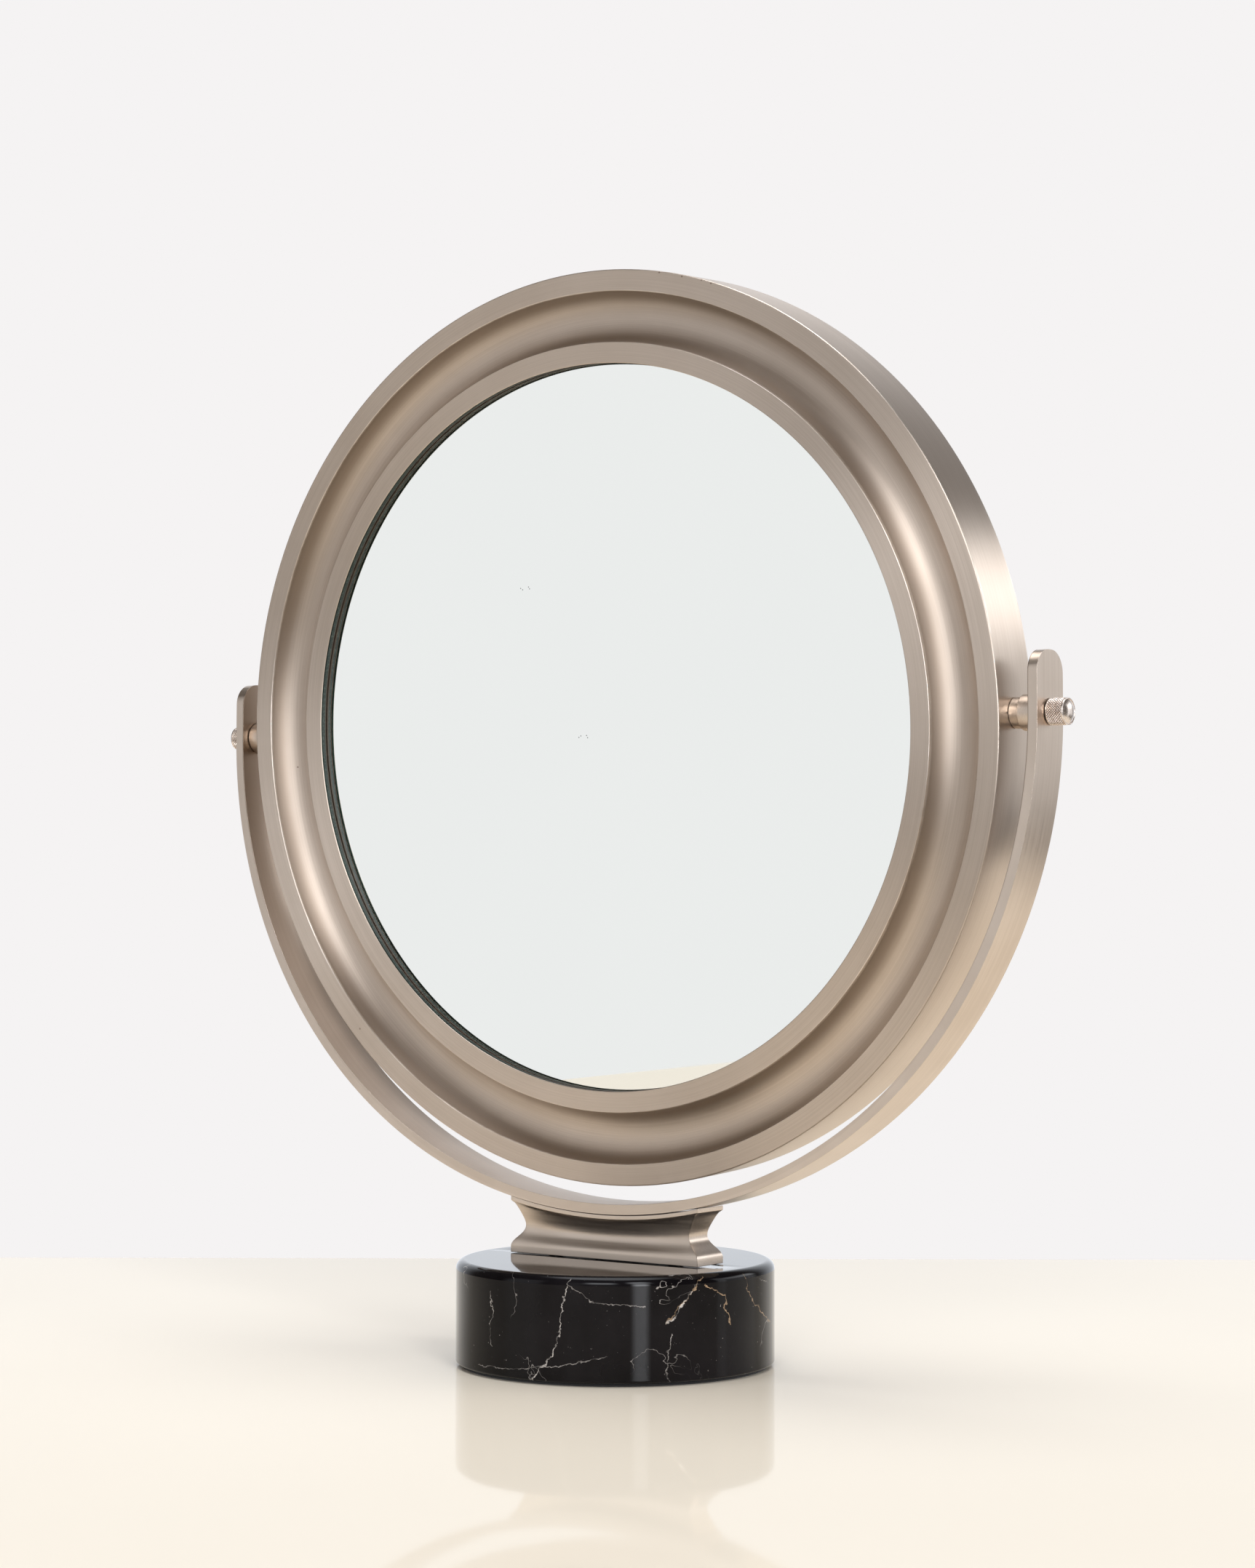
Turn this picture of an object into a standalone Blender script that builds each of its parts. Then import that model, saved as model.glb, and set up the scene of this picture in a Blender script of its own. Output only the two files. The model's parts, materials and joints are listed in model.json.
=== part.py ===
"""Swivelling table mirror on a marble foot.

A round, two-faced mirror head hangs between the arms of a U-shaped flat-bar
yoke. A knurled thumb screw on each side runs through the arm into a threaded
bush on the head, and the head tilts about the line through both screws. The
yoke stands on a waisted pedestal, which two bolts hold to the marble foot.

World frame: metres, +Z up. The front glass looks towards -Y, the tilt axis
runs along X, and the origin is the centre of the foot's underside.
"""

from math import acos, asin, atan2, cos, hypot, pi, radians, sin

import bmesh
import bpy

# ---------------------------------------------------------------- dimensions
FIT_GAP = 0.0003            # left between touching pieces

HEAD_RADIUS = 0.186
HEAD_TILT = radians(2.9)    # the front glass looks slightly down
PIVOT_HEIGHT = 0.2581
BAND_HALF_DEPTH = 0.0132
BAND_WALL = 0.002
OUTER_LIP_WIDTH = 0.0087
COVE_WIDTH = 0.0209
COVE_DEPTH = 0.009
COVE_WALL = 0.0016
INNER_LIP_WIDTH = 0.0085
INNER_LIP_RISE = 0.0007     # the inner lip stands this much prouder
LIP_THICKNESS = 0.002
INNER_LIP_THICKNESS = 0.0012
EDGE_ROUND = 0.0006
HEAD_STEPS = 48

GLASS_RADIUS = 0.1512
GLASS_THICKNESS = 0.004
GASKET_THICKNESS = 0.0025
GASKET_SETBACK = 0.0004
GASKET_RADIUS = 0.154
CORE_RADIUS = 0.1505

LUG_COUNT = 6
LUG_SIZE = (0.0044, 0.012, 0.008)
RING_SCREW_CIRCLE = 0.1808
RING_SCREW_SHANK = 0.00125
RING_SCREW_HEAD = 0.002
RING_SCREW_LENGTH = 0.008

YOKE_SIDE_RADIUS = 0.1966   # inner face, at the height of the pivot
YOKE_FLATTENING = 0.0033    # the bottom of the U is this much nearer the pivot
YOKE_FLATTENING_POWER = 5.5
YOKE_THICKNESS = 0.0041
YOKE_WIDTH = 0.0203
YOKE_ARM_RISE = 0.0235      # above the pivot
YOKE_TIP_RADIUS = 0.0088
YOKE_ARC_STEPS = 40
YOKE_TIP_STEPS = 5

BUSH_RADIUS = 0.00695
BUSH_COLLAR_RADIUS = 0.0060    # the slimmer end against the band
BUSH_COLLAR_LENGTH = 0.0038
BUSH_SPIGOT_RADIUS = 0.004
BUSH_SPIGOT_END = 0.1764    # distance of its inner end from the head's centre
BUSH_BORE_RADIUS = 0.0027
NUT_ACROSS_FLATS = 0.012
NUT_THICKNESS = 0.005
LOCK_WASHER_RADIUS = 0.007
LOCK_WASHER_THICKNESS = 0.001
LOCK_WASHER_FACE = 0.1832

THUMB_RADIUS = 0.0052
THUMB_LENGTH = 0.0075
THUMB_DOME = 0.0014
THUMB_SHANK_RADIUS = 0.0024
THUMB_TIP = 0.181

FOOT_RADIUS = 0.0645
FOOT_TOP = 0.0423
FOOT_TOP_ROUND = 0.0037
FOOT_BOTTOM_ROUND = 0.001
FOOT_STEPS = 48
PAD_RADIUS = 0.062
PAD_THICKNESS = 0.0012

PEDESTAL_LENGTH = 0.0932
PEDESTAL_DEPTH = 0.0182
PEDESTAL_END_WAIST = 0.0058
PEDESTAL_FACE_WAIST = 0.0026
PEDESTAL_FOOT_LIP = 0.0024
PEDESTAL_TOP_LIP = 0.0018

FOOT_BOLT_SPACING = 0.060
FOOT_BOLT_SHANK = 0.003
FOOT_BOLT_HEAD = 0.005
FOOT_BOLT_HEAD_HEIGHT = 0.004
FOOT_BOLT_REACH = 0.012     # into the pedestal
COUNTERBORE_RADIUS = 0.010
COUNTERBORE_TOP = 0.0135
FOOT_WASHER_RADIUS = 0.008
FOOT_WASHER_THICKNESS = 0.0015

YOKE_SCREW_SPACING = 0.024
YOKE_SCREW_SHANK = 0.002
YOKE_SCREW_HEAD = 0.0038
YOKE_SCREW_LENGTH = 0.013

LIP_FRONT = BAND_HALF_DEPTH + INNER_LIP_RISE
LIP_BACK = LIP_FRONT - INNER_LIP_THICKNESS
COVE_OUTER = HEAD_RADIUS - OUTER_LIP_WIDTH
COVE_INNER = COVE_OUTER - COVE_WIDTH
OPENING_RADIUS = COVE_INNER - INNER_LIP_WIDTH
BAND_INNER = HEAD_RADIUS - BAND_WALL
GLASS_FRONT = LIP_BACK - GASKET_THICKNESS - 2 * FIT_GAP
GLASS_BACK = GLASS_FRONT - GLASS_THICKNESS
YOKE_OUTER_AT_PIVOT = YOKE_SIDE_RADIUS + YOKE_THICKNESS
FOOT_UNDERSIDE = PAD_THICKNESS + FIT_GAP


# ------------------------------------------------------------------- helpers
def clear_scene():
    for existing in list(bpy.data.objects):
        bpy.data.objects.remove(existing, do_unlink=True)


def new_collection(name):
    collection = bpy.data.collections.new(name)
    bpy.context.scene.collection.children.link(collection)
    return collection


def new_material(name, colour, roughness, metallic):
    material = bpy.data.materials.new(name)
    material.use_nodes = True
    shader = material.node_tree.nodes["Principled BSDF"]
    shader.inputs["Base Color"].default_value = (*colour, 1.0)
    shader.inputs["Roughness"].default_value = roughness
    shader.inputs["Metallic"].default_value = metallic
    return material


def add_object(name, mesh, material=None, parent=None, location=(0, 0, 0), rotation=(0, 0, 0)):
    obj = bpy.data.objects.new(name, mesh)
    PARTS.objects.link(obj)
    if material is not None:
        mesh.materials.append(material)
    obj.parent = parent
    obj.location = location
    obj.rotation_euler = rotation
    return obj


def as_cutter(obj):
    PARTS.objects.unlink(obj)
    CUTTERS.objects.link(obj)
    obj.hide_render = True
    obj.display_type = "WIRE"
    return obj


def smooth(obj):
    obj.data.shade_smooth()
    obj.data.set_sharp_from_angle(angle=radians(35))
    return obj


def cut(obj, cutter):
    boolean = obj.modifiers.new("cut_" + cutter.name, "BOOLEAN")
    boolean.operation = "DIFFERENCE"
    boolean.solver = "EXACT"
    boolean.object = cutter


def turned(name, profile, material, steps, ring=False, **placing):
    """A solid of revolution about local Z. The profile holds (radius, height)
    pairs that run down the outer side. A ring's profile closes on itself."""
    mesh = bpy.data.meshes.new(name)
    edges = [(i, i + 1) for i in range(len(profile) - 1)]
    if ring:
        edges.append((len(profile) - 1, 0))
    mesh.from_pydata([(radius, 0.0, height) for radius, height in profile], edges, [])
    obj = add_object(name, mesh, material, **placing)
    screw = obj.modifiers.new("turn", "SCREW")
    screw.axis = "Z"
    screw.angle = 2 * pi
    screw.steps = steps
    screw.render_steps = steps
    screw.use_merge_vertices = True
    screw.merge_threshold = 0.00001
    screw.use_smooth_shade = False
    return obj


def cylinder(name, radius, length, material, steps, **placing):
    half = length / 2
    profile = [(0, half), (radius, half), (radius, -half), (0, -half)]
    return turned(name, profile, material, steps, **placing)


def tube(name, outer, inner, low, high, material, steps, **placing):
    profile = [(outer, high), (outer, low), (inner, low), (inner, high)]
    return turned(name, profile, material, steps, ring=True, **placing)


def box(name, size, material, **placing):
    mesh = bpy.data.meshes.new(name)
    shape = bmesh.new()
    bmesh.ops.create_cube(shape, size=1.0)
    bmesh.ops.scale(shape, vec=size, verts=shape.verts)
    shape.to_mesh(mesh)
    shape.free()
    return add_object(name, mesh, material, **placing)


def arc(centre, radius, start, end, steps):
    """Points of an arc in the (radius, height) plane, both ends included."""
    angles = [start + (end - start) * i / steps for i in range(steps + 1)]
    return [(centre[0] + radius * cos(a), centre[1] + radius * sin(a)) for a in angles]


def slotted_screw(name, shank, length, head, head_height, material, countersunk, **placing):
    """A screw along local Z with the top of its head at z = 0."""
    chamfer = shank * 0.3
    if countersunk:
        crown = [(0, 0), (head, 0), (shank, -head_height)]
    else:
        crown = [(0, 0), (head - chamfer, 0), (head, -chamfer), (head, -head_height), (shank, -head_height)]
    tail = [(shank, chamfer - length), (shank - chamfer, -length), (0, -length)]
    screw = turned(name, crown + tail, material, 12, **placing)
    slot_depth = head_height * 0.45
    slot = box(name + "_slot", (head * 3, head * 0.28, slot_depth * 2), None, parent=screw)
    cut(screw, as_cutter(slot))
    return screw


def side_rotation(side):
    """Turns local +Z to world +X on the right (side 1), and to -X on the left."""
    return (0, side * pi / 2, 0)


def side_name(side):
    return "right" if side > 0 else "left"


# ---------------------------------------------------------------------- foot
def bolt_places():
    return [("left", -FOOT_BOLT_SPACING / 2), ("right", FOOT_BOLT_SPACING / 2)]


def make_foot():
    top_round = arc(
        (FOOT_RADIUS - FOOT_TOP_ROUND, FOOT_TOP - FOOT_TOP_ROUND), FOOT_TOP_ROUND, pi / 2, 0, 4
    )
    bottom_round = arc(
        (FOOT_RADIUS - FOOT_BOTTOM_ROUND, FOOT_UNDERSIDE + FOOT_BOTTOM_ROUND),
        FOOT_BOTTOM_ROUND, 0, -pi / 2, 2,
    )
    profile = [(0, FOOT_TOP)] + top_round + bottom_round + [(0, FOOT_UNDERSIDE)]
    foot = turned("marble_foot", profile, MARBLE, FOOT_STEPS)
    for place, x in bolt_places():
        clearance = cylinder(
            f"foot_hole_{place}", FOOT_BOLT_SHANK + 2 * FIT_GAP, 0.2, None, 16, location=(x, 0, 0)
        )
        depth = COUNTERBORE_TOP - FOOT_UNDERSIDE
        counterbore = cylinder(
            f"foot_counterbore_{place}", COUNTERBORE_RADIUS, 2 * depth, None, 20,
            location=(x, 0, FOOT_UNDERSIDE),
        )
        cut(foot, as_cutter(clearance))
        cut(foot, as_cutter(counterbore))
    cylinder("foot_pad", PAD_RADIUS, PAD_THICKNESS, FELT, FOOT_STEPS, location=(0, 0, PAD_THICKNESS / 2))


def make_foot_fixings():
    washer_low = COUNTERBORE_TOP - FIT_GAP - FOOT_WASHER_THICKNESS
    head_top = washer_low - FIT_GAP
    length = FOOT_BOLT_HEAD_HEIGHT + FOOT_TOP - head_top + FOOT_BOLT_REACH
    for place, x in bolt_places():
        tube(
            f"{place}_foot_washer", FOOT_WASHER_RADIUS, FOOT_BOLT_SHANK + FIT_GAP, 0,
            FOOT_WASHER_THICKNESS, STEEL, 16, location=(x, 0, washer_low),
        )
        slotted_screw(
            f"{place}_foot_bolt", FOOT_BOLT_SHANK, length, FOOT_BOLT_HEAD, FOOT_BOLT_HEAD_HEIGHT,
            STEEL, False, location=(x, 0, head_top - FOOT_BOLT_HEAD_HEIGHT), rotation=(pi, 0, 0),
        )


# ------------------------------------------------------------------ pedestal
def yoke_inner_radius(angle):
    """Distance of the yoke's inner face from the pivot, angle from +X."""
    down = max(0.0, -sin(angle))
    return YOKE_SIDE_RADIUS - YOKE_FLATTENING * down**YOKE_FLATTENING_POWER


def yoke_underside(x):
    """Height of the yoke's outer face above the table, near the bottom."""
    angle = -acos(x / (YOKE_SIDE_RADIUS + YOKE_THICKNESS - YOKE_FLATTENING))
    radius = yoke_inner_radius(angle) + YOKE_THICKNESS
    return PIVOT_HEIGHT + radius * sin(angle)


def scotia(rise):
    """How far in the waist is, from 0 to 1, fuller towards the top."""
    return max(0.0, sin(pi * rise)) ** (2.0 - 1.4 * rise)


def pedestal_levels():
    """(kind, rise, inset) up the sides: straight lips with a scotia between."""
    steps = 8
    levels = [("foot", 0.0, 0.0)]
    levels += [("waist", i / steps, scotia(i / steps)) for i in range(steps + 1)]
    levels += [("top", 1.0, 0.0)]
    return levels


def pedestal_height(kind, rise, x):
    bottom = FOOT_TOP + FIT_GAP
    top = yoke_underside(x) - FIT_GAP
    if kind == "foot":
        return bottom
    if kind == "top":
        return top
    low = bottom + PEDESTAL_FOOT_LIP
    high = top - PEDESTAL_TOP_LIP
    return low + (high - low) * rise


def make_pedestal():
    """Rings of points, one above another, round a long block whose top follows
    the yoke. Every ring has its points at the same fractions of the length."""
    along = 10
    shape = bmesh.new()
    rings = []
    for kind, rise, inset in pedestal_levels():
        half_length = PEDESTAL_LENGTH / 2 - PEDESTAL_END_WAIST * inset
        half_depth = PEDESTAL_DEPTH / 2 - PEDESTAL_FACE_WAIST * inset
        xs = [half_length * (2 * i / along - 1) for i in range(along + 1)]
        front = [shape.verts.new((x, -half_depth, pedestal_height(kind, rise, x))) for x in xs]
        back = [shape.verts.new((x, half_depth, pedestal_height(kind, rise, x))) for x in xs]
        rings.append((front, back))
    for (front, back), (front_above, back_above) in zip(rings, rings[1:]):
        for i in range(along):
            shape.faces.new((front[i], front[i + 1], front_above[i + 1], front_above[i]))
            shape.faces.new((back[i + 1], back[i], back_above[i], back_above[i + 1]))
        shape.faces.new((front[-1], back[-1], back_above[-1], front_above[-1]))
        shape.faces.new((back[0], front[0], front_above[0], back_above[0]))
    for i in range(along):
        front, back = rings[0]
        shape.faces.new((front[i + 1], front[i], back[i], back[i + 1]))
        front, back = rings[-1]
        shape.faces.new((front[i], front[i + 1], back[i + 1], back[i]))
    mesh = bpy.data.meshes.new("pedestal")
    shape.to_mesh(mesh)
    shape.free()
    pedestal = add_object("pedestal", mesh, NICKEL)
    for place, x in bolt_places():
        hole = cylinder(
            f"pedestal_hole_{place}", FOOT_BOLT_SHANK + FIT_GAP,
            2 * (FOOT_BOLT_REACH + 0.001), None, 16, location=(x, 0, FOOT_TOP),
        )
        cut(pedestal, as_cutter(hole))
    for place, x in yoke_screw_places():
        hole = cylinder(
            f"pedestal_top_hole_{place}", YOKE_SCREW_SHANK + FIT_GAP,
            2 * (YOKE_SCREW_LENGTH - YOKE_THICKNESS + 0.001), None, 12,
            location=(x, 0, yoke_underside(0)),
        )
        cut(pedestal, as_cutter(hole))


# ---------------------------------------------------------------------- yoke
def yoke_screw_places():
    return [("left", -YOKE_SCREW_SPACING / 2), ("right", YOKE_SCREW_SPACING / 2)]


def yoke_stations():
    """(x, z, half width) along the inner face, from the left tip to the right
    tip. The tips' corners are rounded, so the width grows from the tip down."""
    tips = []
    for i in range(YOKE_TIP_STEPS + 1):
        turn = pi / 2 * i / YOKE_TIP_STEPS
        down = YOKE_TIP_RADIUS * (1 - cos(turn))
        half_width = YOKE_WIDTH / 2 - YOKE_TIP_RADIUS * (1 - sin(turn))
        tips.append((PIVOT_HEIGHT + YOKE_ARM_RISE - down, half_width))
    stations = [(-YOKE_SIDE_RADIUS, z, half_width) for z, half_width in tips]
    for i in range(YOKE_ARC_STEPS + 1):
        angle = pi + pi * i / YOKE_ARC_STEPS
        radius = yoke_inner_radius(angle)
        stations.append((radius * cos(angle), PIVOT_HEIGHT + radius * sin(angle), YOKE_WIDTH / 2))
    stations += [(YOKE_SIDE_RADIUS, z, half_width) for z, half_width in reversed(tips)]
    return stations


def make_yoke():
    """A bent strip, given its thickness outwards, with its screw holes."""
    shape = bmesh.new()
    front = []
    back = []
    for x, z, half_width in yoke_stations():
        front.append(shape.verts.new((x, -half_width, z)))
        back.append(shape.verts.new((x, half_width, z)))
    for i in range(len(front) - 1):
        shape.faces.new((front[i], front[i + 1], back[i + 1], back[i]))
    mesh = bpy.data.meshes.new("yoke")
    shape.to_mesh(mesh)
    shape.free()
    yoke = add_object("yoke", mesh, NICKEL)
    thicken = yoke.modifiers.new("thickness", "SOLIDIFY")
    thicken.thickness = YOKE_THICKNESS
    thicken.offset = -1.0
    thicken.use_even_offset = True
    hole = cylinder(
        "yoke_pivot_holes", THUMB_SHANK_RADIUS + FIT_GAP, 1.0, None, 16,
        location=(0, 0, PIVOT_HEIGHT), rotation=side_rotation(1),
    )
    cut(yoke, as_cutter(hole))
    for place, x in yoke_screw_places():
        clear = FIT_GAP
        sink = turned(
            f"yoke_sink_{place}",
            [
                (0, 0.003), (YOKE_SCREW_HEAD + clear, 0.003), (YOKE_SCREW_HEAD + clear, 0),
                (YOKE_SCREW_SHANK + clear, YOKE_SCREW_SHANK - YOKE_SCREW_HEAD),
                (YOKE_SCREW_SHANK + clear, -0.006), (0, -0.006),
            ],
            None, 16, location=(x, 0, yoke_screw_top()),
        )
        cut(yoke, as_cutter(sink))


def yoke_screw_top():
    return PIVOT_HEIGHT - yoke_inner_radius(-pi / 2) - FIT_GAP


def make_yoke_screws():
    for place, x in yoke_screw_places():
        slotted_screw(
            f"{place}_yoke_screw", YOKE_SCREW_SHANK, YOKE_SCREW_LENGTH, YOKE_SCREW_HEAD,
            YOKE_SCREW_HEAD - YOKE_SCREW_SHANK, STEEL, True, location=(x, 0, yoke_screw_top()),
        )


# ---------------------------------------------------------------------- head
def cove_circle():
    """Centre and radius of the cove's section, which joins both lips."""
    outer = (COVE_OUTER, BAND_HALF_DEPTH)
    inner = (COVE_INNER, LIP_FRONT)
    chord = (inner[0] - outer[0], inner[1] - outer[1])
    half = hypot(*chord) / 2
    radius = (half**2 + COVE_DEPTH**2) / (2 * COVE_DEPTH)
    rise = radius - COVE_DEPTH
    normal = (-chord[1] / (2 * half), chord[0] / (2 * half))
    middle = ((outer[0] + inner[0]) / 2, (outer[1] + inner[1]) / 2)
    return (middle[0] - normal[0] * rise, middle[1] - normal[1] * rise), radius


def ring_face(under_lip):
    """Section of a ring's face, from under its outer lip inwards along the back
    and out again along the front. under_lip is the outer lip's lower height."""
    centre, radius = cove_circle()
    back = radius + COVE_WALL
    start = asin((under_lip - centre[1]) / back)
    end = -pi - asin((LIP_BACK - centre[1]) / back)
    behind = arc(centre, back, start, end, 6)
    start = atan2(LIP_FRONT - centre[1], COVE_INNER - centre[0])
    end = atan2(BAND_HALF_DEPTH - centre[1], COVE_OUTER - centre[0])
    before = arc(centre, radius, start, end, 9)
    return behind + [(OPENING_RADIUS, LIP_BACK), (OPENING_RADIUS, LIP_FRONT)] + before


def make_head_shell():
    corner = (HEAD_RADIUS - EDGE_ROUND, BAND_HALF_DEPTH - EDGE_ROUND)
    under_lip = BAND_HALF_DEPTH - LIP_THICKNESS
    profile = arc(corner, EDGE_ROUND, pi / 2, 0, 2)
    profile += [
        (HEAD_RADIUS, EDGE_ROUND / 2 - BAND_HALF_DEPTH),
        (HEAD_RADIUS - EDGE_ROUND / 2, -BAND_HALF_DEPTH),
        (BAND_INNER, -BAND_HALF_DEPTH),
        (BAND_INNER, under_lip),
    ]
    profile += ring_face(under_lip)
    shell = turned("head_shell", profile, NICKEL, HEAD_STEPS, ring=True, parent=HEAD)
    hole = cylinder(
        "shell_pivot_holes", BUSH_SPIGOT_RADIUS + FIT_GAP, 1.0, None, 16,
        parent=HEAD, rotation=side_rotation(1),
    )
    cut(shell, as_cutter(hole))


def make_rear_ring():
    edge = BAND_INNER - FIT_GAP
    under_lip = BAND_HALF_DEPTH - LIP_THICKNESS
    profile = [(edge - FIT_GAP, BAND_HALF_DEPTH), (edge, BAND_HALF_DEPTH - FIT_GAP), (edge, under_lip)]
    profile += ring_face(under_lip)
    ring = turned("rear_ring", profile, NICKEL, HEAD_STEPS, ring=True, parent=HEAD, rotation=(pi, 0, 0))
    sink_depth = RING_SCREW_HEAD - RING_SCREW_SHANK
    for number, angle in lug_places():
        sink = turned(
            f"ring_sink_{number}",
            [
                (0, 0.002), (RING_SCREW_HEAD + FIT_GAP, 0.002), (RING_SCREW_HEAD + FIT_GAP, 0),
                (RING_SCREW_SHANK + FIT_GAP, -sink_depth), (RING_SCREW_SHANK + FIT_GAP, -0.004),
                (0, -0.004),
            ],
            None, 12, parent=HEAD, location=on_circle(angle, ring_screw_top()), rotation=(pi, 0, 0),
        )
        cut(ring, as_cutter(sink))


def lug_places():
    """Lugs at equal turns, clear of the pivots."""
    return [(i + 1, (i + 0.5) * 2 * pi / LUG_COUNT) for i in range(LUG_COUNT)]


def ring_screw_top():
    return -BAND_HALF_DEPTH + FIT_GAP


def on_circle(angle, height):
    return (RING_SCREW_CIRCLE * cos(angle), RING_SCREW_CIRCLE * sin(angle), height)


def make_ring_fixings():
    lug_rear = -BAND_HALF_DEPTH + LIP_THICKNESS + FIT_GAP
    lug_middle = lug_rear + LUG_SIZE[2] / 2
    for number, angle in lug_places():
        lug = box(
            f"ring_lug_{number}", LUG_SIZE, STEEL, parent=HEAD,
            location=on_circle(angle, lug_middle), rotation=(0, 0, angle),
        )
        hole = cylinder(
            f"lug_hole_{number}", RING_SCREW_SHANK + FIT_GAP, 0.03, None, 10,
            parent=HEAD, location=on_circle(angle, lug_middle),
        )
        cut(lug, as_cutter(hole))
        slotted_screw(
            f"ring_screw_{number}", RING_SCREW_SHANK, RING_SCREW_LENGTH, RING_SCREW_HEAD,
            RING_SCREW_HEAD - RING_SCREW_SHANK, STEEL, True, parent=HEAD,
            location=on_circle(angle, ring_screw_top()), rotation=(pi, 0, angle),
        )


def make_glazing():
    """Front and rear glass, each on its gasket, with one core board between."""
    gasket_high = LIP_BACK - FIT_GAP
    gasket_inner = OPENING_RADIUS + GASKET_SETBACK
    for name, rotation in (("front", (0, 0, 0)), ("rear", (pi, 0, 0))):
        tube(
            f"{name}_gasket", GASKET_RADIUS, gasket_inner, gasket_high - GASKET_THICKNESS, gasket_high,
            RUBBER, HEAD_STEPS, parent=HEAD, rotation=rotation,
        )
        profile = [(0, GLASS_FRONT), (GLASS_RADIUS, GLASS_FRONT), (GLASS_RADIUS, GLASS_BACK), (0, GLASS_BACK)]
        turned(f"{name}_glass", profile, SILVER, HEAD_STEPS, parent=HEAD, rotation=rotation)
    cylinder("core_board", CORE_RADIUS, 2 * (GLASS_BACK - FIT_GAP), BOARD, HEAD_STEPS, parent=HEAD)


# -------------------------------------------------------------------- pivots
def make_pivot(side):
    """Along local Z, which runs outwards from the head's centre."""
    name = side_name(side)
    turn = side_rotation(side)
    inner_face = HEAD_RADIUS + FIT_GAP
    outer_face = YOKE_SIDE_RADIUS - FIT_GAP
    step = inner_face + BUSH_COLLAR_LENGTH
    bush = [
        (BUSH_RADIUS, outer_face), (BUSH_RADIUS, step), (BUSH_COLLAR_RADIUS, step),
        (BUSH_COLLAR_RADIUS, inner_face), (BUSH_SPIGOT_RADIUS, inner_face),
        (BUSH_SPIGOT_RADIUS, BUSH_SPIGOT_END), (BUSH_BORE_RADIUS, BUSH_SPIGOT_END),
        (BUSH_BORE_RADIUS, outer_face),
    ]
    turned(f"{name}_pivot_bush", bush, NICKEL, 20, ring=True, parent=HEAD, rotation=turn)
    washer_low = LOCK_WASHER_FACE - LOCK_WASHER_THICKNESS
    tube(
        f"{name}_lock_washer", LOCK_WASHER_RADIUS, BUSH_SPIGOT_RADIUS + FIT_GAP, washer_low,
        LOCK_WASHER_FACE, STEEL, 16, parent=HEAD, rotation=turn,
    )
    nut_high = washer_low - FIT_GAP
    nut_radius = NUT_ACROSS_FLATS / 2 / cos(pi / 6)
    nut = turned(
        f"{name}_pivot_nut",
        [
            (nut_radius, nut_high), (nut_radius, nut_high - NUT_THICKNESS),
            (BUSH_SPIGOT_RADIUS / cos(pi / 6) + FIT_GAP, nut_high - NUT_THICKNESS),
            (BUSH_SPIGOT_RADIUS / cos(pi / 6) + FIT_GAP, nut_high),
        ],
        STEEL, 6, ring=True, parent=HEAD, rotation=turn,
    )
    return nut


def make_thumb_screw(side, centre):
    face = YOKE_OUTER_AT_PIVOT + FIT_GAP
    end = face + THUMB_LENGTH
    edge = 0.0003
    dome_base = THUMB_RADIUS - edge
    dome_sphere = (dome_base**2 + THUMB_DOME**2) / (2 * THUMB_DOME)
    start = asin(dome_base / dome_sphere)
    dome = [
        (dome_sphere * sin(start * i / 4), end + THUMB_DOME - dome_sphere * (1 - cos(start * i / 4)))
        for i in range(5)
    ]
    profile = dome + [
        (THUMB_RADIUS, end - edge), (THUMB_RADIUS, face), (THUMB_SHANK_RADIUS, face),
        (THUMB_SHANK_RADIUS, THUMB_TIP + edge), (THUMB_SHANK_RADIUS - edge, THUMB_TIP), (0, THUMB_TIP),
    ]
    turned(
        f"{side_name(side)}_thumb_screw", profile, POLISHED, 20, parent=centre, rotation=side_rotation(side)
    )


# --------------------------------------------------------------------- build
def make_empty(name, location, rotation):
    empty = bpy.data.objects.new(name, None)
    PARTS.objects.link(empty)
    empty.location = location
    empty.rotation_euler = rotation
    return empty


def shade_everything():
    for obj in PARTS.objects:
        if obj.type == "MESH" and obj.data.polygons:
            smooth(obj)
        for modifier in obj.modifiers:
            if modifier.type == "SCREW":
                modifier.use_smooth_shade = True


clear_scene()
PARTS = new_collection("table_mirror")
CUTTERS = new_collection("table_mirror_cutters")

NICKEL = new_material("brushed_nickel", (0.46, 0.40, 0.33), 0.32, 1.0)
POLISHED = new_material("polished_nickel", (0.62, 0.57, 0.50), 0.18, 1.0)
STEEL = new_material("plain_steel", (0.50, 0.49, 0.47), 0.35, 1.0)
SILVER = new_material("silvered_glass", (0.86, 0.90, 0.87), 0.02, 1.0)
MARBLE = new_material("black_marble", (0.012, 0.011, 0.012), 0.12, 0.0)
RUBBER = new_material("dark_gasket", (0.020, 0.028, 0.026), 0.60, 0.0)
BOARD = new_material("core_board", (0.25, 0.16, 0.09), 0.85, 0.0)
FELT = new_material("foot_felt", (0.020, 0.020, 0.022), 0.95, 0.0)

# The head's own frame: X along the pivots, Y up the glass, Z out of the front.
HEAD = make_empty("head_pivot", (0, 0, PIVOT_HEIGHT), (pi / 2 + HEAD_TILT, 0, 0))

make_foot()
make_foot_fixings()
make_pedestal()
make_yoke()
make_yoke_screws()
make_head_shell()
make_rear_ring()
make_ring_fixings()
make_glazing()
for pivot_side in (-1, 1):
    make_pivot(pivot_side)
    make_thumb_screw(pivot_side, HEAD)
shade_everything()
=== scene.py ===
"""The looks of the swivelling table mirror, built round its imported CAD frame.

A round, two-faced mirror head hangs between the arms of a U-shaped bar. The bar
stands on a waisted pedestal and a black marble foot. Metres, +Z up, the front
glass looks towards -Y, and the tilt axis runs along X.
"""

import json
from math import acos, asin, atan2, cos, hypot, pi, radians, sin

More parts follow.
